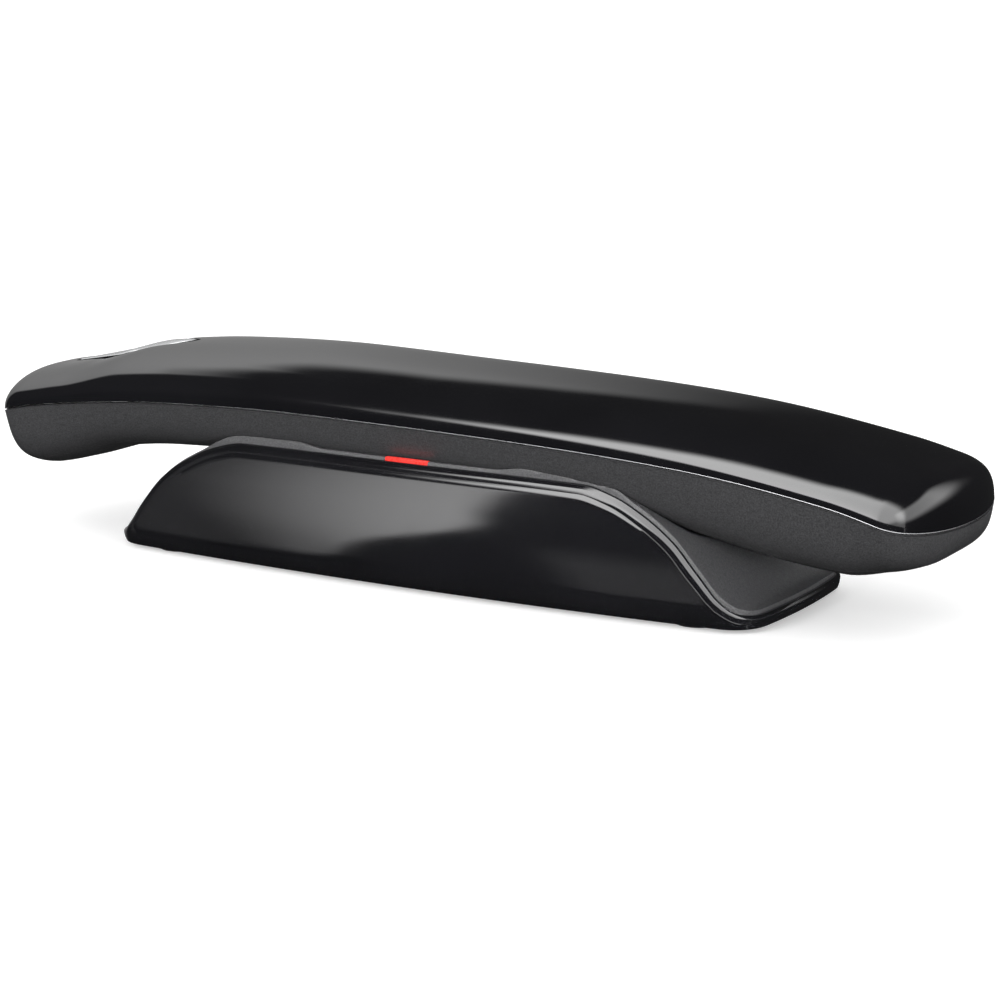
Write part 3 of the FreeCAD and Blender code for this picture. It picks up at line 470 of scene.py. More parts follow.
def plug(bm, outline, axis=UP):
    """Copy of what lies inside an outline, with its edge closed."""
    piece = bm.copy()
    for place, outward in prism_sides(outline, axis):
        bmesh.ops.bisect_plane(piece, geom=piece.verts[:] + piece.edges[:] + piece.faces[:], dist=1e-7,
                               plane_co=place, plane_no=outward, clear_outer=True)
    close_rims(piece)
    return piece


def punch(bm, outline, axis=UP, side=None):
    """Cuts an outline through a skin and closes the walls of the hole."""
    sides = prism_sides(outline, axis)
    inside = [face for face in bm.faces
              if (side is None or face.calc_center_median().dot(axis) * side > 0)
              and all(any((v.co - place).dot(outward) < 0 for v in face.verts) for place, outward in sides)]
    for place, outward in sides:
        edges = {edge for face in inside for edge in face.edges}
        verts = {vert for face in inside for vert in face.verts}
        made = bmesh.ops.bisect_plane(bm, geom=inside + list(edges) + list(verts), dist=1e-7,
                                      plane_co=place, plane_no=outward)
        inside = [face for face in made["geom"] if isinstance(face, bmesh.types.BMFace)
                  and (face.calc_center_median() - place).dot(outward) < 0]
    bmesh.ops.delete(bm, geom=inside, context="FACES")
    close_rims(bm)


def join(bm, other):
    mesh = bpy.data.meshes.new("joined")
    other.to_mesh(mesh)
    bm.from_mesh(mesh)
    bpy.data.meshes.remove(mesh)
    other.free()


def box_mesh(low, high, corner=0.0, segments=5):
    """Block between two corners, its upright edges rounded."""
    bm = bmesh.new()
    bmesh.ops.create_cube(bm, size=1.0)
    bmesh.ops.scale(bm, vec=high - low, verts=bm.verts)
    bmesh.ops.translate(bm, vec=(low + high) / 2, verts=bm.verts)
    if corner:
        upright = [e for e in bm.edges if abs((e.verts[0].co - e.verts[1].co).normalized().z) > 0.9]
        soften(bm, upright, corner, segments)
    return bm


def soften(bm, edges, offset, segments):
    bmesh.ops.bevel(bm, geom=edges, offset=offset, offset_type="OFFSET", affect="EDGES",
                    segments=segments, profile=0.5, material=-1, clamp_overlap=True)


def add_piece(name, bm, body, material, nodes=(), smooth=True, crease=35):
    """Makes a finished piece of a bmesh and puts it on its body."""
    mesh = bpy.data.meshes.new(name)
    bm.to_mesh(mesh)
    bm.free()
    piece = bpy.data.objects.new(name, mesh)
    bpy.context.scene.collection.objects.link(piece)
    mesh.materials.append(material)
    if smooth:
        mesh.shade_smooth()
        mesh.set_sharp_from_angle(angle=math.radians(crease))
    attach(piece, body)
    if nodes:
        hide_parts(*nodes)
    return piece


# ---- finishes -------------------------------------------------------------------------
class Finish:
    """Node tree of one finish, with the wiring that most of them share."""

    def __init__(self, name, base, roughness, metallic=0.0):
        self.material = bpy.data.materials.new(name)
        self.material.use_nodes = True
        self.tree = self.material.node_tree
        self.shader = self.tree.nodes["Principled BSDF"]
        self.shader.inputs["Base Color"].default_value = (*base, 1.0)
        self.shader.inputs["Roughness"].default_value = roughness
        self.shader.inputs["Metallic"].default_value = metallic
        self.base = base
        self.roughness = roughness
        self.place = self.tree.nodes.new("ShaderNodeTexCoord").outputs["Object"]

    def link(self, source, target):
        self.tree.links.new(source, target)

    def noise(self, size_of_grain, detail=2.0, stretch=(1, 1, 1)):
        """Noise whose blotches are about as big as given, in metres."""
        mapping = self.tree.nodes.new("ShaderNodeMapping")
        mapping.inputs["Scale"].default_value = stretch
        self.link(self.place, mapping.inputs["Vector"])
        noise = self.tree.nodes.new("ShaderNodeTexNoise")
        noise.inputs["Scale"].default_value = 1.0 / size_of_grain
        noise.inputs["Detail"].default_value = detail
        self.link(mapping.outputs["Vector"], noise.inputs["Vector"])
        return noise.outputs["Fac"]

    def spread(self, source, low, high, from_low=0.3, from_high=0.7):
        remap = self.tree.nodes.new("ShaderNodeMapRange")
        remap.inputs["From Min"].default_value = from_low
        remap.inputs["From Max"].default_value = from_high
        remap.inputs["To Min"].default_value = low
        remap.inputs["To Max"].default_value = high
        self.link(source, remap.inputs["Value"])
        return remap.outputs["Result"]

    def vary_roughness(self, source, amount):
        self.link(self.spread(source, max(0.0, self.roughness - amount), self.roughness + amount),
                  self.shader.inputs["Roughness"])

    def vary_colour(self, source, low, high):
        """Base colour from low to high times itself."""
        ramp = self.tree.nodes.new("ShaderNodeMix")
        ramp.data_type = "RGBA"
        ramp.inputs["A"].default_value = (*[c * low for c in self.base], 1.0)
        ramp.inputs["B"].default_value = (*[min(1.0, c * high) for c in self.base], 1.0)
        self.link(self.spread(source, 0.0, 1.0), ramp.inputs["Factor"])
        self.link(ramp.outputs["Result"], self.shader.inputs["Base Color"])

    def bump(self, source, depth, strength=1.0):
        bump = self.tree.nodes.new("ShaderNodeBump")
        bump.inputs["Distance"].default_value = depth
        bump.inputs["Strength"].default_value = strength
        self.link(source, bump.inputs["Height"])
        self.link(bump.outputs["Normal"], self.shader.inputs["Normal"])


def known(name):
    return bpy.data.materials.get(name)


def gloss_black():
    """Polished black plastic, with the faint waviness of a moulded skin."""
    if known("gloss_black_finish"):
        return known("gloss_black_finish")
    finish = Finish("gloss_black_finish", bpy.context.scene.phone_colours.gloss, 0.085)
    finish.vary_roughness(finish.noise(9 * MM, 4.0), 0.02)
    finish.vary_colour(finish.noise(30 * MM, 2.0), 0.85, 1.2)
    finish.bump(finish.noise(9 * MM, 0.0), 0.004 * MM, 0.35)
    finish.shader.inputs["IOR"].default_value = 1.52
    finish.shader.inputs["Coat Weight"].default_value = 0.25
    finish.shader.inputs["Coat Roughness"].default_value = 0.03
    return finish.material


def matte_black():
    """Black plastic with a fine spark-eroded grain."""
    if known("matte_black_finish"):
        return known("matte_black_finish")
    finish = Finish("matte_black_finish", bpy.context.scene.phone_colours.matte, 0.47)
    grain = finish.noise(0.28 * MM, 3.0)
    finish.vary_colour(grain, 0.62, 1.5)
    finish.vary_roughness(finish.noise(0.6 * MM, 2.0), 0.07)
    finish.bump(grain, 0.03 * MM, 0.7)
    finish.shader.inputs["IOR"].default_value = 1.46
    return finish.material


def satin_trim():
    """Bright plated line, drawn along the handset."""
    finish = Finish("trim_finish", bpy.context.scene.phone_colours.trim, 0.3, 1.0)
    streaks = finish.noise(0.25 * MM, 2.0, (0.05, 1.0, 1.0))
    finish.vary_roughness(streaks, 0.06)
    finish.vary_colour(streaks, 0.9, 1.08)
    return finish.material


def pearl_cap():
    """Grey lacquer with very fine flake."""
    finish = Finish("cap_finish", bpy.context.scene.phone_colours.cap, 0.2, 0.2)
    flake = finish.noise(0.12 * MM, 2.0)
    finish.vary_colour(flake, 0.9, 1.12)
    finish.vary_roughness(finish.noise(4 * MM, 3.0), 0.03)
    finish.shader.inputs["Coat Weight"].default_value = 0.6
    finish.shader.inputs["Coat Roughness"].default_value = 0.06
    return finish.material


def smoke_glass():
    finish = Finish("window_finish", (0.012, 0.012, 0.014), 0.05)
    finish.vary_roughness(finish.noise(6 * MM, 3.0), 0.02)
    finish.shader.inputs["Transmission Weight"].default_value = 0.55
    finish.shader.inputs["IOR"].default_value = 1.5
    return finish.material


def key_cap_finish():
    finish = Finish("key_finish", bpy.context.scene.phone_colours.key, 0.38)
    finish.vary_colour(finish.noise(0.3 * MM, 2.0), 0.85, 1.15)
    finish.vary_roughness(finish.noise(1.5 * MM, 3.0), 0.06)
    finish.bump(finish.noise(0.2 * MM, 2.0), 0.01 * MM, 0.6)
    return finish.material


def print_finish(name, tint):
    finish = Finish(name, tint, 0.45)
    finish.vary_colour(finish.noise(0.25 * MM, 2.0), 0.88, 1.06)
    finish.vary_roughness(finish.noise(0.5 * MM, 2.0), 0.08)
    return finish.material


def lamp_finish():
    """Frosted lens, brightest in its middle, lit from behind."""
    tint = bpy.context.scene.phone_colours.lamp
    finish = Finish("lamp_finish", (0.6 * tint[0], 0.6 * tint[1], 0.6 * tint[2]), 0.3)
    finish.vary_roughness(finish.noise(0.4 * MM, 2.0), 0.08)
    split = finish.tree.nodes.new("ShaderNodeSeparateXYZ")
    finish.link(finish.place, split.inputs["Vector"])
    away = finish.tree.nodes.new("ShaderNodeMath")
    away.operation = "ABSOLUTE"
    finish.link(split.outputs["X"], away.inputs[0])
    glow = finish.spread(away.outputs["Value"], 1.0, 0.72, 0.0, length_of("light_bar", 0) / 2)
    ramp = finish.tree.nodes.new("ShaderNodeMix")
    ramp.data_type = "RGBA"
    ramp.inputs["A"].default_value = (0.0, 0.0, 0.0, 1.0)
    ramp.inputs["B"].default_value = (*tint, 1.0)
    finish.link(glow, ramp.inputs["Factor"])
    finish.link(ramp.outputs["Result"], finish.shader.inputs["Emission Color"])
    finish.shader.inputs["Emission Strength"].default_value = 0.6
    return finish.material


def moulded(name, tint, roughness, grain=0.5 * MM):
    """Plain moulded plastic or rubber."""
    finish = Finish(name, tint, roughness)
    finish.vary_colour(finish.noise(grain * 6, 3.0), 0.85, 1.15)
    finish.vary_roughness(finish.noise(grain * 2, 2.0), 0.08)
    finish.bump(finish.noise(grain, 2.0), 0.02 * MM, 0.5)
    return finish.material


def metal(name, tint, roughness, stretch=(1, 1, 1)):
    """Plated or rolled metal with fine streaks."""
    finish = Finish(name, tint, roughness, 1.0)
    streaks = finish.noise(0.3 * MM, 3.0, stretch)
    finish.vary_colour(streaks, 0.85, 1.1)
    finish.vary_roughness(streaks, 0.08)
    finish.bump(streaks, 0.006 * MM, 0.5)
    return finish.material


def solder_mask():
    """Green board with the faint relief of its tracks."""
    finish = Finish("board_finish", bpy.context.scene.phone_colours.board, 0.32)
    brick = finish.tree.nodes.new("ShaderNodeTexBrick")
    brick.inputs["Scale"].default_value = 160.0
    brick.inputs["Mortar Size"].default_value = 0.035
    tint = finish.base
    brick.inputs["Color1"].default_value = (*[c * 0.9 for c in tint], 1.0)
    brick.inputs["Color2"].default_value = (*[c * 1.05 for c in tint], 1.0)
    brick.inputs["Mortar"].default_value = (*[c * 1.7 for c in tint], 1.0)
    finish.link(finish.place, brick.inputs["Vector"])
    finish.link(brick.outputs["Color"], finish.shader.inputs["Base Color"])
    finish.bump(brick.outputs["Fac"], 0.03 * MM, 0.6)
    return finish.material


def paint(node, material):
    """Gives a frame node its finish."""
    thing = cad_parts[node]
    if not thing.material_slots:
        thing.data.materials.append(material)
    for slot in thing.material_slots:
        slot.material = material
    return thing


# ---- pieces of the handset ------------------------------------------------------------
def kite(sizes, grow, z=0.0):
    """Outline of the ringer cap: a kite with its blunt end towards the middle."""
    tip = sizes.cap_inset - sizes.length / 2
    shoulder = tip + sizes.cap_shoulder
    half = sizes.cap_width / 2 + grow * 1.1
    corners = [Vector((tip - grow * 2.0, 0, z)), Vector((shoulder, -half, z)),
               Vector((tip + sizes.cap_length + grow * 1.5, 0, z)), Vector((shoulder, half, z))]
    return rounded_outline(corners, [2.5 * MM + grow] * 4, 8)


class PHONE_OT_back_cover(bpy.types.Operator):
    """Domed glossy back of the handset, with the recess of the ringer cap"""
    bl_idname = "phone.back_cover"
    bl_label = "Back Cover"

    def execute(self, context):
        sizes = context.scene.phone_handset
        form = HandsetForm(sizes)
        lift = sizes.trim_height / 2 + 0.05 * MM
        rings = []
        for x in form.places():
            outer = form.back(x, 0.0, lift=lift)
            inner = form.back(x, sizes.wall, lift=lift)
            rings.append(looped(outer + inner[::-1]))
        cover = bent_grid(rings)
        punch(cover, kite(sizes, sizes.cap_groove))
        floor_rings = []
        for x in form.places():
            outer = form.back(x, sizes.cap_depth, lift=lift)
            inner = form.back(x, sizes.wall - 0.05 * MM, lift=lift)
            floor_rings.append(looped(outer + inner[::-1]))
        thin = bent_grid(floor_rings)
        join(cover, plug(thin, kite(sizes, sizes.cap_groove + 0.05 * MM)))
        thin.free()
        add_piece("back_cover_skin", cover, "handset", gloss_black(), ["handset_back_cover"])
        return {"FINISHED"}


class PHONE_OT_ringer_cap(bpy.types.Operator):
    """Kite-shaped cap in the back, slightly domed, with rounded edges, and a gloss black ring of painted
    shade round it
    """
    bl_idname = "phone.ringer_cap"
    bl_label = "Ringer Cap"

    def execute(self, context):
        sizes = context.scene.phone_handset
        form = HandsetForm(sizes)
        outline = kite(sizes, 0.0)
        middle = Vector((sizes.cap_inset - sizes.length / 2 + sizes.cap_shoulder * 0.9, 0, 0))
        edge = 0.45 * MM
        proud = 0.2 * MM
        profile = [(0.0, -0.8 * MM), (0.0, -edge)]
        profile += [(edge * (1 - math.cos(a)), edge * math.sin(a) - edge)
                    for a in spaced(0.15, math.pi / 2, 6)]
        rings = []
        for point in looped(outline):
            spoke = point - middle
            reach = spoke.length
            ring = []
            for inwards, sink in profile:
                place = middle + spoke * (1 - inwards / reach)
                ring.append(Vector((place.x, place.y, form.back_level(place.x, place.y) + sink + proud)))
            for k in range(1, 13):
                share_in = (1 - edge / reach) * (1 - k / 12)
                place = middle + spoke * share_in
                crown = 0.25 * MM * (1 - share_in ** 2)
                ring.append(Vector((place.x, place.y, form.back_level(place.x, place.y) + proud + crown)))
            under = middle.copy()
            under.z = form.back_level(middle.x, 0.0) - 0.8 * MM
            ring = [under] + ring
            rings.append(ring)
        add_piece("ringer_cap_dome", bent_grid(rings), "handset", pearl_cap(), ["ringer_cap"])
        # Gloss black ring in the cover's own finish, laid over the groove's inner edge and the cap's rim:
        # painted shade for the dark gap round the cap.
        painted_shade_rings = []
        for out, into in zip(looped(kite(sizes, 0.15 * MM)), looped(kite(sizes, -0.3 * MM))):
            ring = []
            for place, sink in ((out, 0.85 * MM), (out, -0.02 * MM), (into, -0.06 * MM), (into, 0.85 * MM)):
                ring.append(Vector((place.x, place.y, form.back_level(place.x, place.y) - sink)))
            painted_shade_rings.append(looped(ring))
        add_piece("ringer_cap_frame", bent_grid(painted_shade_rings), "handset", gloss_black())
        return {"FINISHED"}


class PHONE_OT_trim_line(bpy.types.Operator):
    """Bright line that runs round the handset between its two covers"""
    bl_idname = "phone.trim_line"
    bl_label = "Trim Line"

    def execute(self, context):
        sizes = context.scene.phone_handset
        form = HandsetForm(sizes)
        half = sizes.trim_height / 2
        proud = 0.06 * MM
        profile = [(proud - 2 * proud * math.cos(a), half * math.sin(a))
                   for a in spaced(-math.pi / 2, math.pi / 2, 7)]
        profile += [(sizes.wall, half), (sizes.wall, -half)]
        rings = []
        places = form.places()
        outline = [(x, -1) for x in places] + [(x, 1) for x in places[-2:0:-1]]
        for x, hand in outline:
            ring = []
            for inset, lift in profile:
                near, parting, width, _, _ = form.section(x, inset)
                ring.append(Vector((near, hand * width, parting + lift)))
            rings.append(looped(ring))
        add_piece("trim_line_ring", bent_grid(looped(rings)), "handset", satin_trim(),
                  ["trim_band"])
        return {"FINISHED"}


def lower_shell(sizes, form):
    """Closed wall of the handset's matte half, with the lip that makes the dark groove."""
    gap = sizes.trim_height / 2 + sizes.shadow_gap
    lip_top = sizes.trim_height / 2 + 0.05 * MM
    rings = []
    for x in form.places():
        outer = form.front(x, 0.0, sink=gap)
        inner = form.front(x, sizes.wall, sink=lip_top)
        step = []
        for inset, sink in ((sizes.lip_inset, gap), (sizes.lip_inset, lip_top)):
            near, parting, width, _, _ = form.section(x, inset)
            step.append([Vector((near, hand * width, parting - sink)) for hand in (-1, 1)])
        (low_front, low_rear), (high_front, high_rear) = step
        rings.append(looped(outer + [low_rear, high_rear] + inner[::-1] + [high_front, low_front]))
    return bent_grid(rings)


def plate_outline(sizes, margin):
    return rounded_rectangle(0, 0, sizes.length - 2 * margin, sizes.width - 2 * margin,
                             sizes.plate_corner, 10)


KEYS = [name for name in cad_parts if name.startswith("key_")]


class PHONE_OT_front_half(bpy.types.Operator):
    """Matte half of the handset: housing, face plate, display window and charging contacts"""
    bl_idname = "phone.front_half"
    bl_label = "Front Half"

    def execute(self, context):
        sizes = context.scene.phone_handset
        keys = context.scene.phone_keys
        form = HandsetForm(sizes)
        shell = lower_shell(sizes, form)
        plate = plug(shell, plate_outline(sizes, sizes.plate_margin))
        punch(shell, plate_outline(sizes, sizes.plate_margin - sizes.seam))
        add_piece("front_housing_skin", shell, "handset", matte_black(),
                  ["handset_front_housing"])

        low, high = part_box("display_window")
        centre = (low + high) / 2
        window = (centre.x, 0.0, high.x - low.x, high.y - low.y)
        glass = plug(plate, rounded_rectangle(*window, 2.0 * MM))
        add_piece("display_window_glass", glass, "handset", smoke_glass(),
                  ["display_window"])
        holes = [rounded_rectangle(window[0], 0.0, window[2] + 2 * sizes.seam, window[3] + 2 * sizes.seam,
                                   2.0 * MM)]
        pads = None
        for hand in (-1, 1):
            x, y = context.scene.phone_contacts.x, hand * context.scene.phone_contacts.y
            side = context.scene.phone_contacts.pad
            pad = plug(plate, rounded_rectangle(x, y, side, side, 0.4 * MM, 3))
            holes.append(rounded_rectangle(x, y, side + 2 * sizes.seam, side + 2 * sizes.seam, 0.4 * MM, 3))
            if pads is None:
                pads = pad
            else:
                join(pads, pad)
        add_piece("charge_pad_plates", pads, "handset",
                  metal("contact_finish", context.scene.phone_colours.brass, 0.22), ["charge_pads"])
        for name in KEYS:
            low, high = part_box(name)
            centre = (low + high) / 2
            grow = keys.slit - keys.flange
            holes.append(rounded_rectangle(centre.x, centre.y, high.x - low.x + 2 * grow,
                                           high.y - low.y + 2 * grow, keys.corner + keys.slit, 5))
        ear = centre_of("earpiece_mesh").x
        for k in (-2, -1, 0, 1, 2):
            holes.append(rounded_rectangle(ear + EAR_SLOT_PITCH * k * MM, 0.0, EAR_SLOT_WIDTH * MM,
                                           (EAR_SLOT_LENGTH - abs(k)) * MM, 0.55 * MM, 4))
        holes.append(circle_outline(centre_of("microphone").x, 0.0, 0.8 * MM))
        for outline in holes:
            punch(plate, outline)
        add_piece("face_plate_skin", plate, "handset", matte_black(), ["face_plate"])
        return {"FINISHED"}


def sign_mesh(kind):
    """A sign on the XY plane, about one unit high, as a flat mesh to be given depth."""
    bm = bmesh.new()
    if kind in ("talk", "end"):
        parts = [((0.0, 0.0), (1.0, 0.16)), ((-0.42, -0.14), (0.3, 0.3)), ((0.42, -0.14), (0.3, 0.3))]
        for (x, y), (width, height) in parts:
            turn = Matrix.Translation((x, y, 0)) @ Matrix.Diagonal((width / 2, height / 2, 1, 1))
            bmesh.ops.create_grid(bm, x_segments=1, y_segments=1, size=1.0, matrix=turn)
        if kind == "talk":
            bmesh.ops.rotate(bm, verts=bm.verts, matrix=Matrix.Rotation(math.radians(135), 3, "Z"))
    elif kind == "arrows":
        for way in (-1, 1):
            turn = Matrix.Translation((0, way * 1.15, 0)) @ Matrix.Rotation(math.pi / 2 * (1 - way), 4, "Z")
            bmesh.ops.create_circle(bm, cap_ends=True, segments=3, radius=0.32, matrix=turn)
    else:
        turn = Matrix.Diagonal((0.3, 0.055, 1, 1))
        bmesh.ops.create_grid(bm, x_segments=1, y_segments=1, size=1.0, matrix=turn)
    return bm


def text_mesh(text):
    """A character on the XY plane, one unit high, made a mesh."""
    curve = bpy.data.curves.new("mark", "FONT")
    curve.body = text
    curve.size = 1.35
    curve.align_x = "CENTER"
    curve.align_y = "CENTER"
    curve.resolution_u = 4
    thing = bpy.data.objects.new("mark", curve)
    bpy.context.scene.collection.objects.link(thing)
    bpy.context.view_layer.update()
    mesh = bpy.data.meshes.new_from_object(thing.evaluated_get(bpy.context.evaluated_depsgraph_get()))
    bm = bmesh.new()
    bm.from_mesh(mesh)
    bpy.data.objects.remove(thing)
    bpy.data.curves.remove(curve)
    bpy.data.meshes.remove(mesh)
    return bm


KEY_MARKS = {"key_soft_left": "dash", "key_soft_right": "dash", "key_talk": "talk", "key_end": "end",
             "key_nav": "arrows", "key_star": "*", "key_hash": "#"}


class PHONE_OT_keys(bpy.types.Operator):
    """Rounded key caps, each with its digit or sign"""
    bl_idname = "phone.keys"
    bl_label = "Keys"

    def execute(self, context):
        sizes = context.scene.phone_keys
        colours = context.scene.phone_colours
        rubber = key_cap_finish()
        inks = {"talk": print_finish("talk_print", colours.talk),
                "end": print_finish("end_print", colours.hang_up)}
        white = print_finish("white_print", colours.mark)
        facing = Matrix(((0, -1, 0, 0), (-1, 0, 0, 0), (0, 0, -1, 0), (0, 0, 0, 1)))
        for name in KEYS:
            low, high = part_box(name)
            rim = Vector((sizes.flange, sizes.flange, 0))
            cap = box_mesh(low + rim, high - rim, sizes.corner, 7)
            face = min(cap.faces, key=lambda f: f.calc_center_median().z)
            soften(cap, list(face.edges), sizes.edge, 4)
            face = min(cap.faces, key=lambda f: f.calc_center_median().z)
            for step, sink in ((0.7 * MM, 0.02 * MM), (0.8 * MM, 0.01 * MM)):
                bmesh.ops.inset_region(cap, faces=[face], thickness=step, use_even_offset=True)
                bmesh.ops.translate(cap, vec=(0, 0, sink), verts=face.verts)
            add_piece(name + "_cap", cap, name, rubber, [name])

            kind = KEY_MARKS.get(name, name[4:])
            mark = sign_mesh(kind) if kind in ("talk", "end", "arrows", "dash") else text_mesh(kind)
            grown = bmesh.ops.extrude_face_region(mark, geom=mark.faces[:])
            raised = [v for v in grown["geom"] if isinstance(v, bmesh.types.BMVert)]
            depth = (sizes.print_depth + 0.05 * MM) / sizes.digit
            bmesh.ops.translate(mark, vec=(0, 0, depth), verts=raised)
            bmesh.ops.recalc_face_normals(mark, faces=mark.faces)
            bmesh.ops.scale(mark, vec=(sizes.digit,) * 3, verts=mark.verts)
            bmesh.ops.transform(mark, matrix=facing, verts=mark.verts)
            centre = (low + high) / 2
            place = Vector((centre.x, centre.y, low.z + 0.08 * MM))
            bmesh.ops.translate(mark, vec=place, verts=mark.verts)
            add_piece(name + "_mark", mark, name, inks.get(kind, white), smooth=False)
        return {"FINISHED"}


# ---- pieces of the base ---------------------------------------------------------------
class PHONE_OT_base_shell(bpy.types.Operator):
    """Glossy ring of the base, with its rolled edge, bead and the openings in its rear"""
    bl_idname = "phone.base_shell"
    bl_label = "Base Shell"

    def execute(self, context):
        sizes = context.scene.phone_base
        form = BaseForm(sizes)
        wall = sizes.wall
        step = 0.06 * MM
        slope = sizes.bead * 1.6
        rim_profile = [(0.0, -sizes.roll - step), (step, -sizes.roll), (step, -sizes.roll + 0.06 * MM),
                       (step + 0.04 * MM, -(sizes.roll + slope) / 2), (step + 0.1 * MM, -slope - 0.06 * MM)]
        rim_profile += [(step + 0.14 * MM + sizes.bead * u, -slope + (slope - 0.1 * MM) * u ** 0.92)
                        for u in spaced(0.0, 1.0, 6)]
        rim_profile += [(step + sizes.bead + 0.22 * MM, -0.035 * MM), (step + sizes.bead + 0.34 * MM, 0.0),
                        (wall - 0.12 * MM, 0.0), (wall - 0.035 * MM, -0.035 * MM), (wall, -0.12 * MM)]
        rims = [form.rim(index) for index in form.stations()]
        count = len(rims)
        rings = []
        for index, rim in enumerate(rims):
            along = rims[(index + 1) % count] - rims[index - 1]
            steep = along.xy.length / along.length
            rise = rim.z - sizes.bottom
            scale = min(1.0 / max(steep, 0.25), 0.55 * rise / sizes.roll)
            low = sizes.bottom
            top = rim.z + rim_profile[0][1] * scale
            ring = [form.station(index, low, 0.25 * MM)]
            for u in spaced(0.0, 1.0, 26)[:-1]:
                z = low + 0.12 * MM + (top - low - 0.12 * MM) * u ** 1.25
                ring.append(form.station(index, z, 0.0))
            for inwards, down in rim_profile:
                ring.append(form.station(index, rim.z + down * scale, inwards))
            for u in (0.35, 0.7, 1.0):
                ring.append(form.station(index, rim.z + (low - rim.z) * u, wall))
            rings.append(looped(ring))
        shell = bent_grid(looped(rings))
        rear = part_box("power_socket")[1].y
        for node in ("power_socket", "line_socket"):
            low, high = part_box(node)
            centre = (low + high) / 2
            margin = 1.0 * MM
            corners = [Vector((centre.x + sx * ((high.x - low.x) / 2 - margin), rear,
                               centre.z + sz * ((high.z - low.z) / 2 - margin)))
                       for sx, sz in ((-1, -1), (1, -1), (1, 1), (-1, 1))]
            punch(shell, rounded_outline(corners, [0.5 * MM] * 4, 3), BACKWARD, 1)
        centre = centre_of("page_button")
        radius = length_of("page_button", 0) / 2 - 0.9 * MM + 0.2 * MM
        hole = [Vector((centre.x + radius * math.cos(2 * math.pi * k / 40), rear,
                        centre.z + radius * math.sin(2 * math.pi * k / 40))) for k in range(40)]
        punch(shell, hole, BACKWARD, 1)
        add_piece("base_shell_skin", shell, "base", gloss_black(), ["base_shell"], crease=40)
        return {"FINISHED"}


class PHONE_OT_cradle(bpy.types.Operator):
    """Matte top of the base: ledge, shoulders and the trough that takes the handset"""
    bl_idname = "phone.cradle"
    bl_label = "Cradle"

    def execute(self, context):
        sizes = context.scene.phone_base
        form = BaseForm(sizes)
        handset = HandsetForm(context.scene.phone_handset)
        inset = sizes.wall + sizes.seam
        low_z = 3.4 * MM
        end = form.quarter(low_z, inset)[0]
        keys = [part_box(name) for name in KEYS]
        well_start = min(low.x for low, _ in keys) - 3 * MM
        well_end = max(high.x for _, high in keys) + 3 * MM
        well_half = max(high.y for _, high in keys) + 0.6 * MM
        columns, rows = 240, 42
        shares = [(k / rows) ** 2.2 for k in range(rows + 1)]
        shares = [-(1 - s) for s in shares] + [1 - s for s in reversed(shares[:-1])]
        grow = sizes.clearance
        half_width = handset.half_width + grow
        rings = []
        places = [end * math.sin(math.pi / 2 * u) * 0.12 + end * u * 0.88
                  for u in spaced(-1.0, 1.0, columns + 1)]
        for x in places:
            edge_z = form.arch(x)
            half = form.inner_half_depth(x, edge_z, inset)
            top = form.top(x)
            parting = handset.parting(x)
            drop = handset.drop(x) + grow
            ring = []
            for t in shares:
                y = half * t
                from_wall = half - abs(y)
                level = edge_z - 0.25 * MM + (top - edge_z + 0.25 * MM) * eased(from_wall / (0.5 * MM))
                out = abs(y) / half_width
                if out < 1.0:
                    trough = parting - drop * handset.front_share(out)
                    in_keys = (eased((x - well_start) / MM) * eased((well_end - x) / MM)
                               * eased((well_half - abs(y)) / MM))
                    trough -= sizes.well * in_keys
                    blend = 0.5 * MM
                    h = max(0.0, min(1.0, 0.5 + 0.5 * (trough - level) / blend))
                    level = trough * (1 - h) + level * h - blend * h * (1 - h)
                bow = sizes.end_bow * (1 - t * t) * (abs(x) / end) ** 8
                ring.append(Vector((x + math.copysign(bow, x), y, level)))
            rings.append(ring)
        cradle = bent_grid(rings)
        if sum(face.normal.z for face in cradle.faces) < 0:
            bmesh.ops.reverse_faces(cradle, faces=cradle.faces)
        grown = bmesh.ops.extrude_face_region(cradle, geom=cradle.faces[:])
        lower = [v for v in grown["geom"] if isinstance(v, bmesh.types.BMVert)]
        bmesh.ops.translate(cradle, vec=(0, 0, -1.2 * MM), verts=lower)
        bmesh.ops.recalc_face_normals(cradle, faces=cradle.faces)
        contacts = context.scene.phone_contacts
        for hand in (-1, 1):
            punch(cradle, circle_outline(contacts.x, hand * contacts.y, contacts.pin + 0.1 * MM, 24))
        low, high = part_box("light_bar")
        centre = (low + high) / 2
        punch(cradle, rounded_rectangle(centre.x, centre.y, high.x - low.x + 0.1 * MM,
                                        high.y - low.y + 0.1 * MM, 0.15 * MM, 3))
        add_piece("cradle_skin", cradle, "base", matte_black(), ["cradle_cover"], crease=50)
        return {"FINISHED"}


class PHONE_OT_light_bar(bpy.types.Operator):
    """Lit red bar in the ledge"""
    bl_idname = "phone.light_bar"
    bl_label = "Light Bar"

    def execute(self, context):
        low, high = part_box("light_bar")
        bar = box_mesh(low, high, 0.3 * MM, 4)
        top = max(bar.faces, key=lambda f: f.calc_center_median().z)
        soften(bar, list(top.edges), 0.2 * MM, 3)
        add_piece("light_bar_lens", bar, "base", lamp_finish(), ["light_bar"])
        return {"FINISHED"}


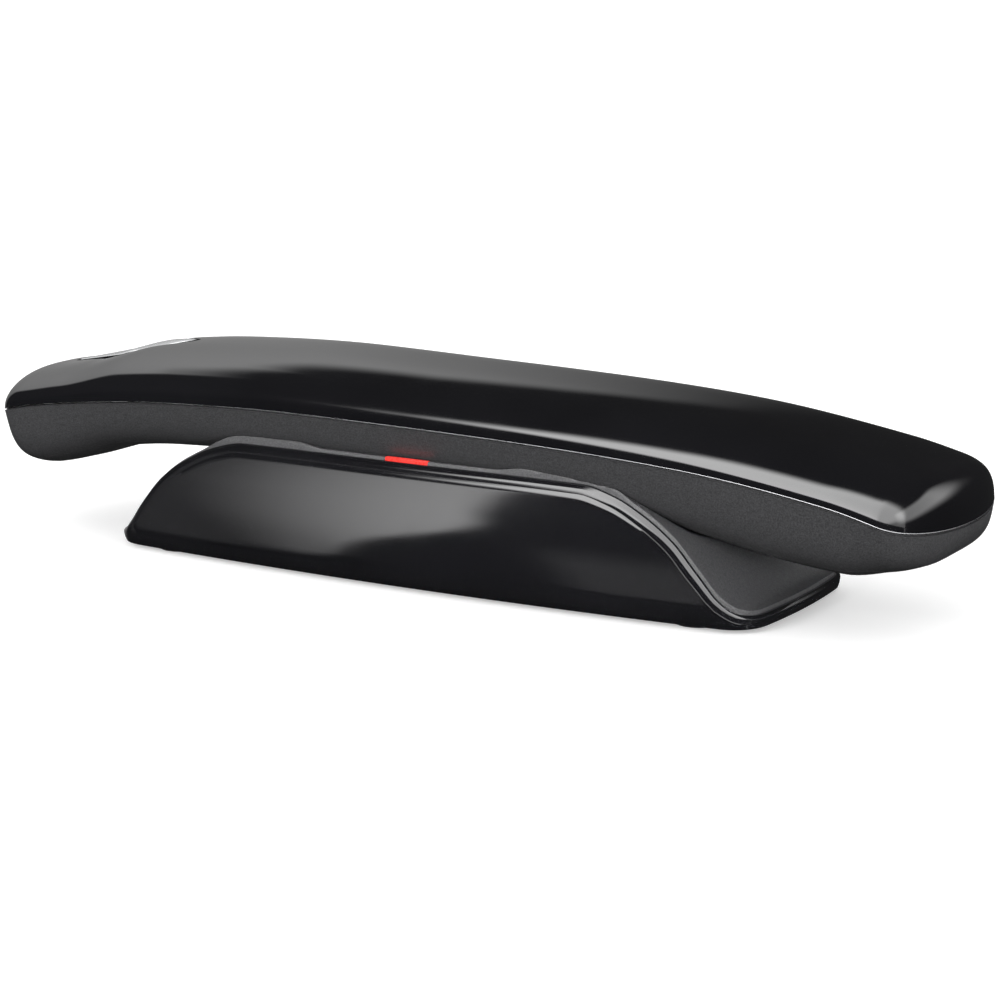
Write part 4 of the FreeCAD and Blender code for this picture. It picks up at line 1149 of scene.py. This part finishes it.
class PHONE_OT_page_button(bpy.types.Operator):
    """Round button in the rear of the base, with a shallow dish"""
    bl_idname = "phone.page_button"
    bl_label = "Page Button"

    def execute(self, context):
        low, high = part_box("page_button")
        centre = (low + high) / 2
        collar = (high.x - low.x) / 2
        knob = collar - 0.9 * MM
        depth = high.y - low.y
        profile = [(0.0, 0.0), (collar, 0.0), (collar, 0.8 * MM), (knob, 0.8 * MM)]
        edge = 0.4 * MM
        profile += [(knob - edge * (1 - math.cos(a)), depth - edge + edge * math.sin(a))
                    for a in spaced(0.0, math.pi / 2, 6)]
        profile += [(knob * s, depth - 0.3 * MM * (1 - (s / 0.8) ** 2)) for s in (0.78, 0.6, 0.4, 0.2)]
        profile.append((0.0, depth - 0.3 * MM))
        bm = bmesh.new()
        verts = [bm.verts.new((radius, along, 0)) for radius, along in profile]
        edges = [bm.edges.new(pair) for pair in zip(verts, verts[1:])]
        bmesh.ops.spin(bm, geom=verts + edges, cent=(0, 0, 0), axis=(0, 1, 0), angle=2 * math.pi,
                       steps=48, use_merge=True)
        bmesh.ops.remove_doubles(bm, verts=bm.verts, dist=1e-6)
        bmesh.ops.recalc_face_normals(bm, faces=bm.faces)
        bmesh.ops.translate(bm, vec=(centre.x, low.y, centre.z), verts=bm.verts)
        add_piece("page_button_knob", bm, "page_button", matte_black(), ["page_button"])
        return {"FINISHED"}


class PHONE_OT_feet(bpy.types.Operator):
    """Four round rubber feet with a moulded ring"""
    bl_idname = "phone.feet"
    bl_label = "Feet"

    def execute(self, context):
        low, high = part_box("rubber_feet")
        radius = 5.0 * MM
        edge = 0.3 * MM
        height = high.z - low.z
        profile = [(0.0, 0.15 * MM), (radius * 0.5, 0.15 * MM), (radius * 0.54, 0.0), (radius - edge, 0.0)]
        profile += [(radius - edge + edge * math.sin(a), edge - edge * math.cos(a))
                    for a in spaced(0.3, math.pi / 2, 5)]
        profile += [(radius, height), (0.0, height)]
        feet = bmesh.new()
        for sx in (-1, 1):
            for sy in (-1, 1):
                foot = bmesh.new()
                verts = [foot.verts.new((r, 0, z)) for r, z in profile]
                edges = [foot.edges.new(pair) for pair in zip(verts, verts[1:])]
                bmesh.ops.spin(foot, geom=verts + edges, cent=(0, 0, 0), axis=(0, 0, 1),
                               angle=2 * math.pi, steps=40, use_merge=True)
                bmesh.ops.remove_doubles(foot, verts=foot.verts, dist=1e-6)
                bmesh.ops.recalc_face_normals(foot, faces=foot.faces)
                bmesh.ops.translate(foot, vec=(sx * (high.x - radius), sy * (high.y - radius), low.z),
                                    verts=foot.verts)
                join(feet, foot)
        add_piece("rubber_feet_pads", feet, "base",
                  moulded("foot_finish", context.scene.phone_colours.rubber, 0.75), ["rubber_feet"])
        return {"FINISHED"}


class ContactSizes(bpy.types.PropertyGroup):
    """Charging contacts, shared by the handset and the base."""
    x: size("Along", "Place of the contacts along the handset", centre_of("charge_pin_front").x)
    y: size("Aside", "Distance of each contact from the middle", abs(centre_of("charge_pin_front").y))
    pad: size("Pad", "Side of a contact pad", 5.0 * MM)
    pin: size("Pin", "Radius of a charging pin", 1.25 * MM)


class PHONE_OT_frame_finishes(bpy.types.Operator):
    """Finishes of the parts that keep their frame shape: boards, cells, screws, sockets and pins"""
    bl_idname = "phone.frame_finishes"
    bl_label = "Frame Finishes"

    def execute(self, context):
        colours = context.scene.phone_colours
        steel = metal("steel_finish", colours.steel, 0.3, (0.1, 1, 1))
        brass = metal("brass_finish", colours.brass, 0.22)
        board = solder_mask()
        inner = moulded("inner_finish", colours.inner, 0.5)
        rubber = moulded("sheet_finish", colours.sheet, 0.7)
        speaker = metal("speaker_finish", (0.16, 0.16, 0.17), 0.4)
        given = {
            "keypad_mat": rubber, "handset_circuit_board": board, "handset_screws": steel,
            "handset_shield_can": steel, "handset_antenna": brass,
            "display_module": moulded("display_finish", colours.display, 0.35),
            "earpiece_speaker": speaker, "earpiece_mesh": speaker, "microphone": speaker,
            "ringer_speaker": speaker, "battery_cells": moulded("cell_finish", colours.cell, 0.3),
            "battery_holder": inner, "battery_contacts": brass,
            "bottom_cover": moulded("bottom_finish", colours.matte, 0.6, 0.3 * MM),
            "base_circuit_board": board, "base_screws": steel, "base_shield_can": steel,
            "base_antennas": brass, "ballast_plate": metal("ballast_finish", (0.4, 0.41, 0.42), 0.5),
            "power_socket": inner, "line_socket": inner, "page_switch": inner, "contact_holder": inner,
            "charge_pin_front": brass, "charge_pin_rear": brass,
            "charge_spring_front": steel, "charge_spring_rear": steel,
        }
        for node, material in given.items():
            paint(node, material)
        left = [n for n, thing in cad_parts.items() if not thing.hide_render and n not in given]
        if left:
            raise RuntimeError("frame nodes without a finish: " + ", ".join(left))
        return {"FINISHED"}


# ---- stage ----------------------------------------------------------------------------
def softbox(name, place, aim, width, height, power):
    """Area light that shapes the matte surfaces and stays out of the reflections."""
    light = bpy.data.lights.new(name, "AREA")
    light.shape = "RECTANGLE"
    light.size = width
    light.size_y = height
    light.energy = power
    lamp = bpy.data.objects.new(name, light)
    lamp.location = place
    lamp.rotation_euler = (Vector(aim) - Vector(place)).to_track_quat("-Z", "Y").to_euler()
    bpy.context.scene.collection.objects.link(lamp)
    lamp.visible_camera = False
    lamp.visible_glossy = False
    return lamp


class StudioNodes:
    """Light as a function of direction. Turn is 0 at the front and grows to the left."""

    def __init__(self, tree, direction):
        self.tree = tree
        split = tree.nodes.new("ShaderNodeSeparateXYZ")
        tree.links.new(direction, split.inputs["Vector"])
        self.x, self.y, self.z = (split.outputs[axis] for axis in "XYZ")
        self.turn = self.math("ARCTAN2", self.math("MULTIPLY", self.x, -1.0),
                              self.math("MULTIPLY", self.y, -1.0))
        self.height = self.math("ARCSINE", self.z)

    def math(self, operation, a, b=None):
        node = self.tree.nodes.new("ShaderNodeMath")
        node.operation = operation
        for socket, value in zip(node.inputs, (a, b)):
            if isinstance(value, (int, float)):
                socket.default_value = value
            elif value is not None:
                self.tree.links.new(value, socket)
        return node.outputs["Value"]

    def ramp(self, source, start, end, low=0.0, high=1.0):
        """Smooth change from low at start to high at end."""
        remap = self.tree.nodes.new("ShaderNodeMapRange")
        remap.interpolation_type = "SMOOTHSTEP"
        remap.inputs["From Min"].default_value = start
        remap.inputs["From Max"].default_value = end
        remap.inputs["To Min"].default_value = low
        remap.inputs["To Max"].default_value = high
        self.tree.links.new(source, remap.inputs["Value"])
        return remap.outputs["Result"]

    def turned(self, source, start, end, low=0.0, high=1.0):
        """The same with start and end in degrees."""
        return self.ramp(source, math.radians(start), math.radians(end), low, high)

    def product(self, *values):
        result = values[0]
        for value in values[1:]:
            result = self.math("MULTIPLY", result, value)
        return result

    def total(self, *values):
        result = values[0]
        for value in values[1:]:
            result = self.math("ADD", result, value)
        return result

    def rear_wall(self):
        """Wide panel behind the object on the left, brighter upwards, with a slanting top edge."""
        past = self.math("SUBTRACT", self.turn, math.radians(130))
        slant = self.total(self.height, self.math("MULTIPLY", past, 0.3),
                           self.math("MULTIPLY", self.math("MAXIMUM", past, 0.0), 0.6))
        glow = self.total(0.3, self.product(2.0, self.height, self.math("MAXIMUM", self.height, 0.0)))
        return self.product(glow, self.turned(self.turn, 102, 109),
                            self.turned(self.turn, 144, 161, 1.0, 0.0),
                            self.turned(slant, 38, 45, 1.0, 0.0), self.turned(self.height, -30, -6))

    def ceiling(self):
        """Large softbox overhead, from the front to the right, cut off slantwise on the left."""
        up = self.math("MAXIMUM", self.z, 0.01)
        across = self.math("DIVIDE", self.x, up)
        along = self.math("DIVIDE", self.y, up)
        slant = self.math("SUBTRACT", across, self.math("MULTIPLY", along, 0.727))
        return self.product(8.0, self.ramp(slant, -0.26, -0.02), self.ramp(across, -0.9, -0.68),
                            self.ramp(along, -2.5, -1.8), self.ramp(along, 0.02, 0.28, 1.0, 0.0),
                            self.ramp(across, -0.45, 0.3, 1.0, 0.62), self.ramp(across, 1.2, 3.4, 1.0, 0.3))

    def right_wall(self):
        """Soft panel on the right, towards the rear."""
        return self.product(2.4, self.turned(self.turn, -165, -135),
                            self.turned(self.turn, -88, -72, 1.0, 0.0),
                            self.turned(self.height, 8, 20), self.turned(self.height, 40, 50, 1.0, 0.0))

    def front_glow(self):
        """Faint glow from the front, below the horizon."""
        return self.product(0.35, self.turned(self.turn, 5, 20), self.turned(self.turn, 60, 80, 1.0, 0.0),
                            self.turned(self.height, -40, -25), self.turned(self.height, -3, 6, 1.0, 0.0))

    def front_panel(self):
        """Tall panel in front on the left, fading leftwards, with its lower right corner cut off."""
        below = self.math("MAXIMUM", self.math("SUBTRACT", math.radians(-3), self.height), 0.0)
        edge = self.math("SUBTRACT", self.turn, self.math("MULTIPLY", below, 0.6))
        main = self.product(self.turned(self.turn, 27, 46, 4.0, 0.2), self.turned(edge, 25.5, 27.5),
                            self.turned(self.turn, 48, 64, 1.0, 0.0), self.turned(self.height, -37, -25),
                            self.turned(self.height, 19, 27, 1.0, 0.0))
        low = self.product(0.35, self.turned(self.turn, 10, 17), self.turned(self.turn, 22, 25, 1.0, 0.0),
                           self.turned(self.height, -33, -25), self.turned(self.height, -18, -4, 1.0, 0.0))
        return self.total(main, low)


def studio_world():
    """White surroundings, dim for reflections but for the soft panels."""
    world = bpy.data.worlds.new("studio")
    world.use_nodes = True
    tree = world.node_tree
    sky = StudioNodes(tree, tree.nodes.new("ShaderNodeTexCoord").outputs["Generated"])
    panels = sky.total(sky.ceiling(), sky.rear_wall(), sky.right_wall(), sky.front_glow(), 0.02)
    room = sky.turned(sky.height, -8, 6, 0.12, 1.0)
    rays = tree.nodes.new("ShaderNodeLightPath")
    shown = sky.total(room, sky.product(rays.outputs["Is Glossy Ray"], sky.math("SUBTRACT", panels, room)))
    lit = sky.product(rays.outputs["Is Camera Ray"], sky.math("SUBTRACT", 1.0, shown))
    background = tree.nodes["Background"]
    background.inputs["Color"].default_value = (1, 1, 1, 1)
    tree.links.new(sky.total(shown, lit), background.inputs["Strength"])
    return world


def front_softbox():
    """Glowing panel in front of the base, which only the base's skins reflect."""
    bm = bmesh.new()
    place = Matrix.Rotation(math.radians(-37), 4, "Z") @ Matrix.Translation((0, -2.0, -0.35))
    shape = Matrix.Rotation(math.pi / 2, 4, "X") @ Matrix.Diagonal((1.15, 1.35, 1.0, 1.0))
    bmesh.ops.create_grid(bm, x_segments=1, y_segments=1, size=1.0, matrix=place @ shape)
    mesh = bpy.data.meshes.new("front_softbox")
    bm.to_mesh(mesh)
    bm.free()
    panel = bpy.data.objects.new("front_softbox", mesh)
    bpy.context.scene.collection.objects.link(panel)
    material = bpy.data.materials.new("front_softbox_glow")
    material.use_nodes = True
    tree = material.node_tree
    tree.nodes.clear()
    away = tree.nodes.new("ShaderNodeVectorMath")
    away.operation = "NORMALIZE"
    tree.links.new(tree.nodes.new("ShaderNodeTexCoord").outputs["Object"], away.inputs[0])
    glow = tree.nodes.new("ShaderNodeEmission")
    tree.links.new(StudioNodes(tree, away.outputs["Vector"]).front_panel(), glow.inputs["Strength"])
    output = tree.nodes.new("ShaderNodeOutputMaterial")
    tree.links.new(glow.outputs["Emission"], output.inputs["Surface"])
    mesh.materials.append(material)
    for way in ("camera", "diffuse", "shadow", "transmission", "volume_scatter"):
        setattr(panel, "visible_" + way, False)
    lit = bpy.data.collections.new("lit_by_front_softbox")
    for name in ("base_shell_skin", "cradle_skin"):
        lit.objects.link(bpy.data.objects[name])
    panel.light_linking.receiver_collection = lit


class PHONE_OT_stage(bpy.types.Operator):
    """Pale floor, soft studio light and the camera"""
    bl_idname = "phone.stage"
    bl_label = "Stage"

    def execute(self, context):
        sizes = context.scene.phone_stage
        scene = context.scene
        floor = bmesh.new()
        bmesh.ops.create_grid(floor, x_segments=1, y_segments=1, size=40.0)
        mesh = bpy.data.meshes.new("floor")
        floor.to_mesh(mesh)
        floor.free()
        table = bpy.data.objects.new("floor", mesh)
        scene.collection.objects.link(table)
        finish = Finish("floor_finish", scene.phone_colours.floor, 0.8)
        finish.vary_colour(finish.noise(0.4, 2.0), 0.99, 1.01)
        finish.shader.inputs["Emission Color"].default_value = (1, 1, 1, 1)
        finish.shader.inputs["Emission Strength"].default_value = 0.35
        mesh.materials.append(finish.material)
        table.visible_glossy = False
        table.visible_diffuse = False

        scene.world = studio_world()
        middle = (0.0, 0.0, 0.02)
        softbox("key", (-0.5, -1.4, 0.55), middle, 1.0, 0.7, sizes.key_power)
        softbox("side", (1.25, -0.75, 0.12), middle, 0.5, 0.4, 0.9 * sizes.key_power)
        front_softbox()

        camera = bpy.data.cameras.new("camera")
        camera.lens = sizes.lens
        camera.sensor_width = 36.0
        camera.shift_y = sizes.lift
        camera.clip_start = 0.01
        eye = bpy.data.objects.new("camera", camera)
        back = Vector((math.sin(sizes.azimuth) * math.cos(sizes.elevation),
                       -math.cos(sizes.azimuth) * math.cos(sizes.elevation), math.sin(sizes.elevation)))
        eye.location = Vector(sizes.target) + back * sizes.distance
        eye.rotation_euler = back.to_track_quat("Z", "Y").to_euler()
        scene.collection.objects.link(eye)
        scene.camera = eye
        scene.view_settings.view_transform = "Standard"
        return {"FINISHED"}


# ---- panel and registration -----------------------------------------------------------
PIECES = (PHONE_OT_back_cover, PHONE_OT_ringer_cap, PHONE_OT_trim_line, PHONE_OT_front_half, PHONE_OT_keys,
          PHONE_OT_base_shell, PHONE_OT_cradle, PHONE_OT_light_bar, PHONE_OT_page_button, PHONE_OT_feet,
          PHONE_OT_frame_finishes, PHONE_OT_stage)
GROUPS = (("phone_handset", HandsetSizes), ("phone_keys", KeySizes), ("phone_contacts", ContactSizes),
          ("phone_base", BaseSizes), ("phone_colours", FinishColours), ("phone_stage", StageSizes))


class PHONE_PT_pieces(bpy.types.Panel):
    """Buttons for the pieces and the stage"""
    bl_idname = "PHONE_PT_pieces"
    bl_label = "Cordless Phone"
    bl_space_type = "VIEW_3D"
    bl_region_type = "UI"
    bl_category = "Phone"

    def draw(self, context):
        for piece in PIECES:
            self.layout.operator(piece.bl_idname)


def register():
    for name, group in GROUPS:
        bpy.utils.register_class(group)
        setattr(bpy.types.Scene, name, PointerProperty(type=group))
    for piece in PIECES:
        bpy.utils.register_class(piece)
    bpy.utils.register_class(PHONE_PT_pieces)


def unregister():
    bpy.utils.unregister_class(PHONE_PT_pieces)
    for piece in reversed(PIECES):
        bpy.utils.unregister_class(piece)
    for name, group in reversed(GROUPS):
        delattr(bpy.types.Scene, name)
        bpy.utils.unregister_class(group)


def main():
    register()
    for piece in PIECES:
        group, name = piece.bl_idname.split(".")
        getattr(getattr(bpy.ops, group), name)()
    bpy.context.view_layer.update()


if __name__ == "__main__":
    main()
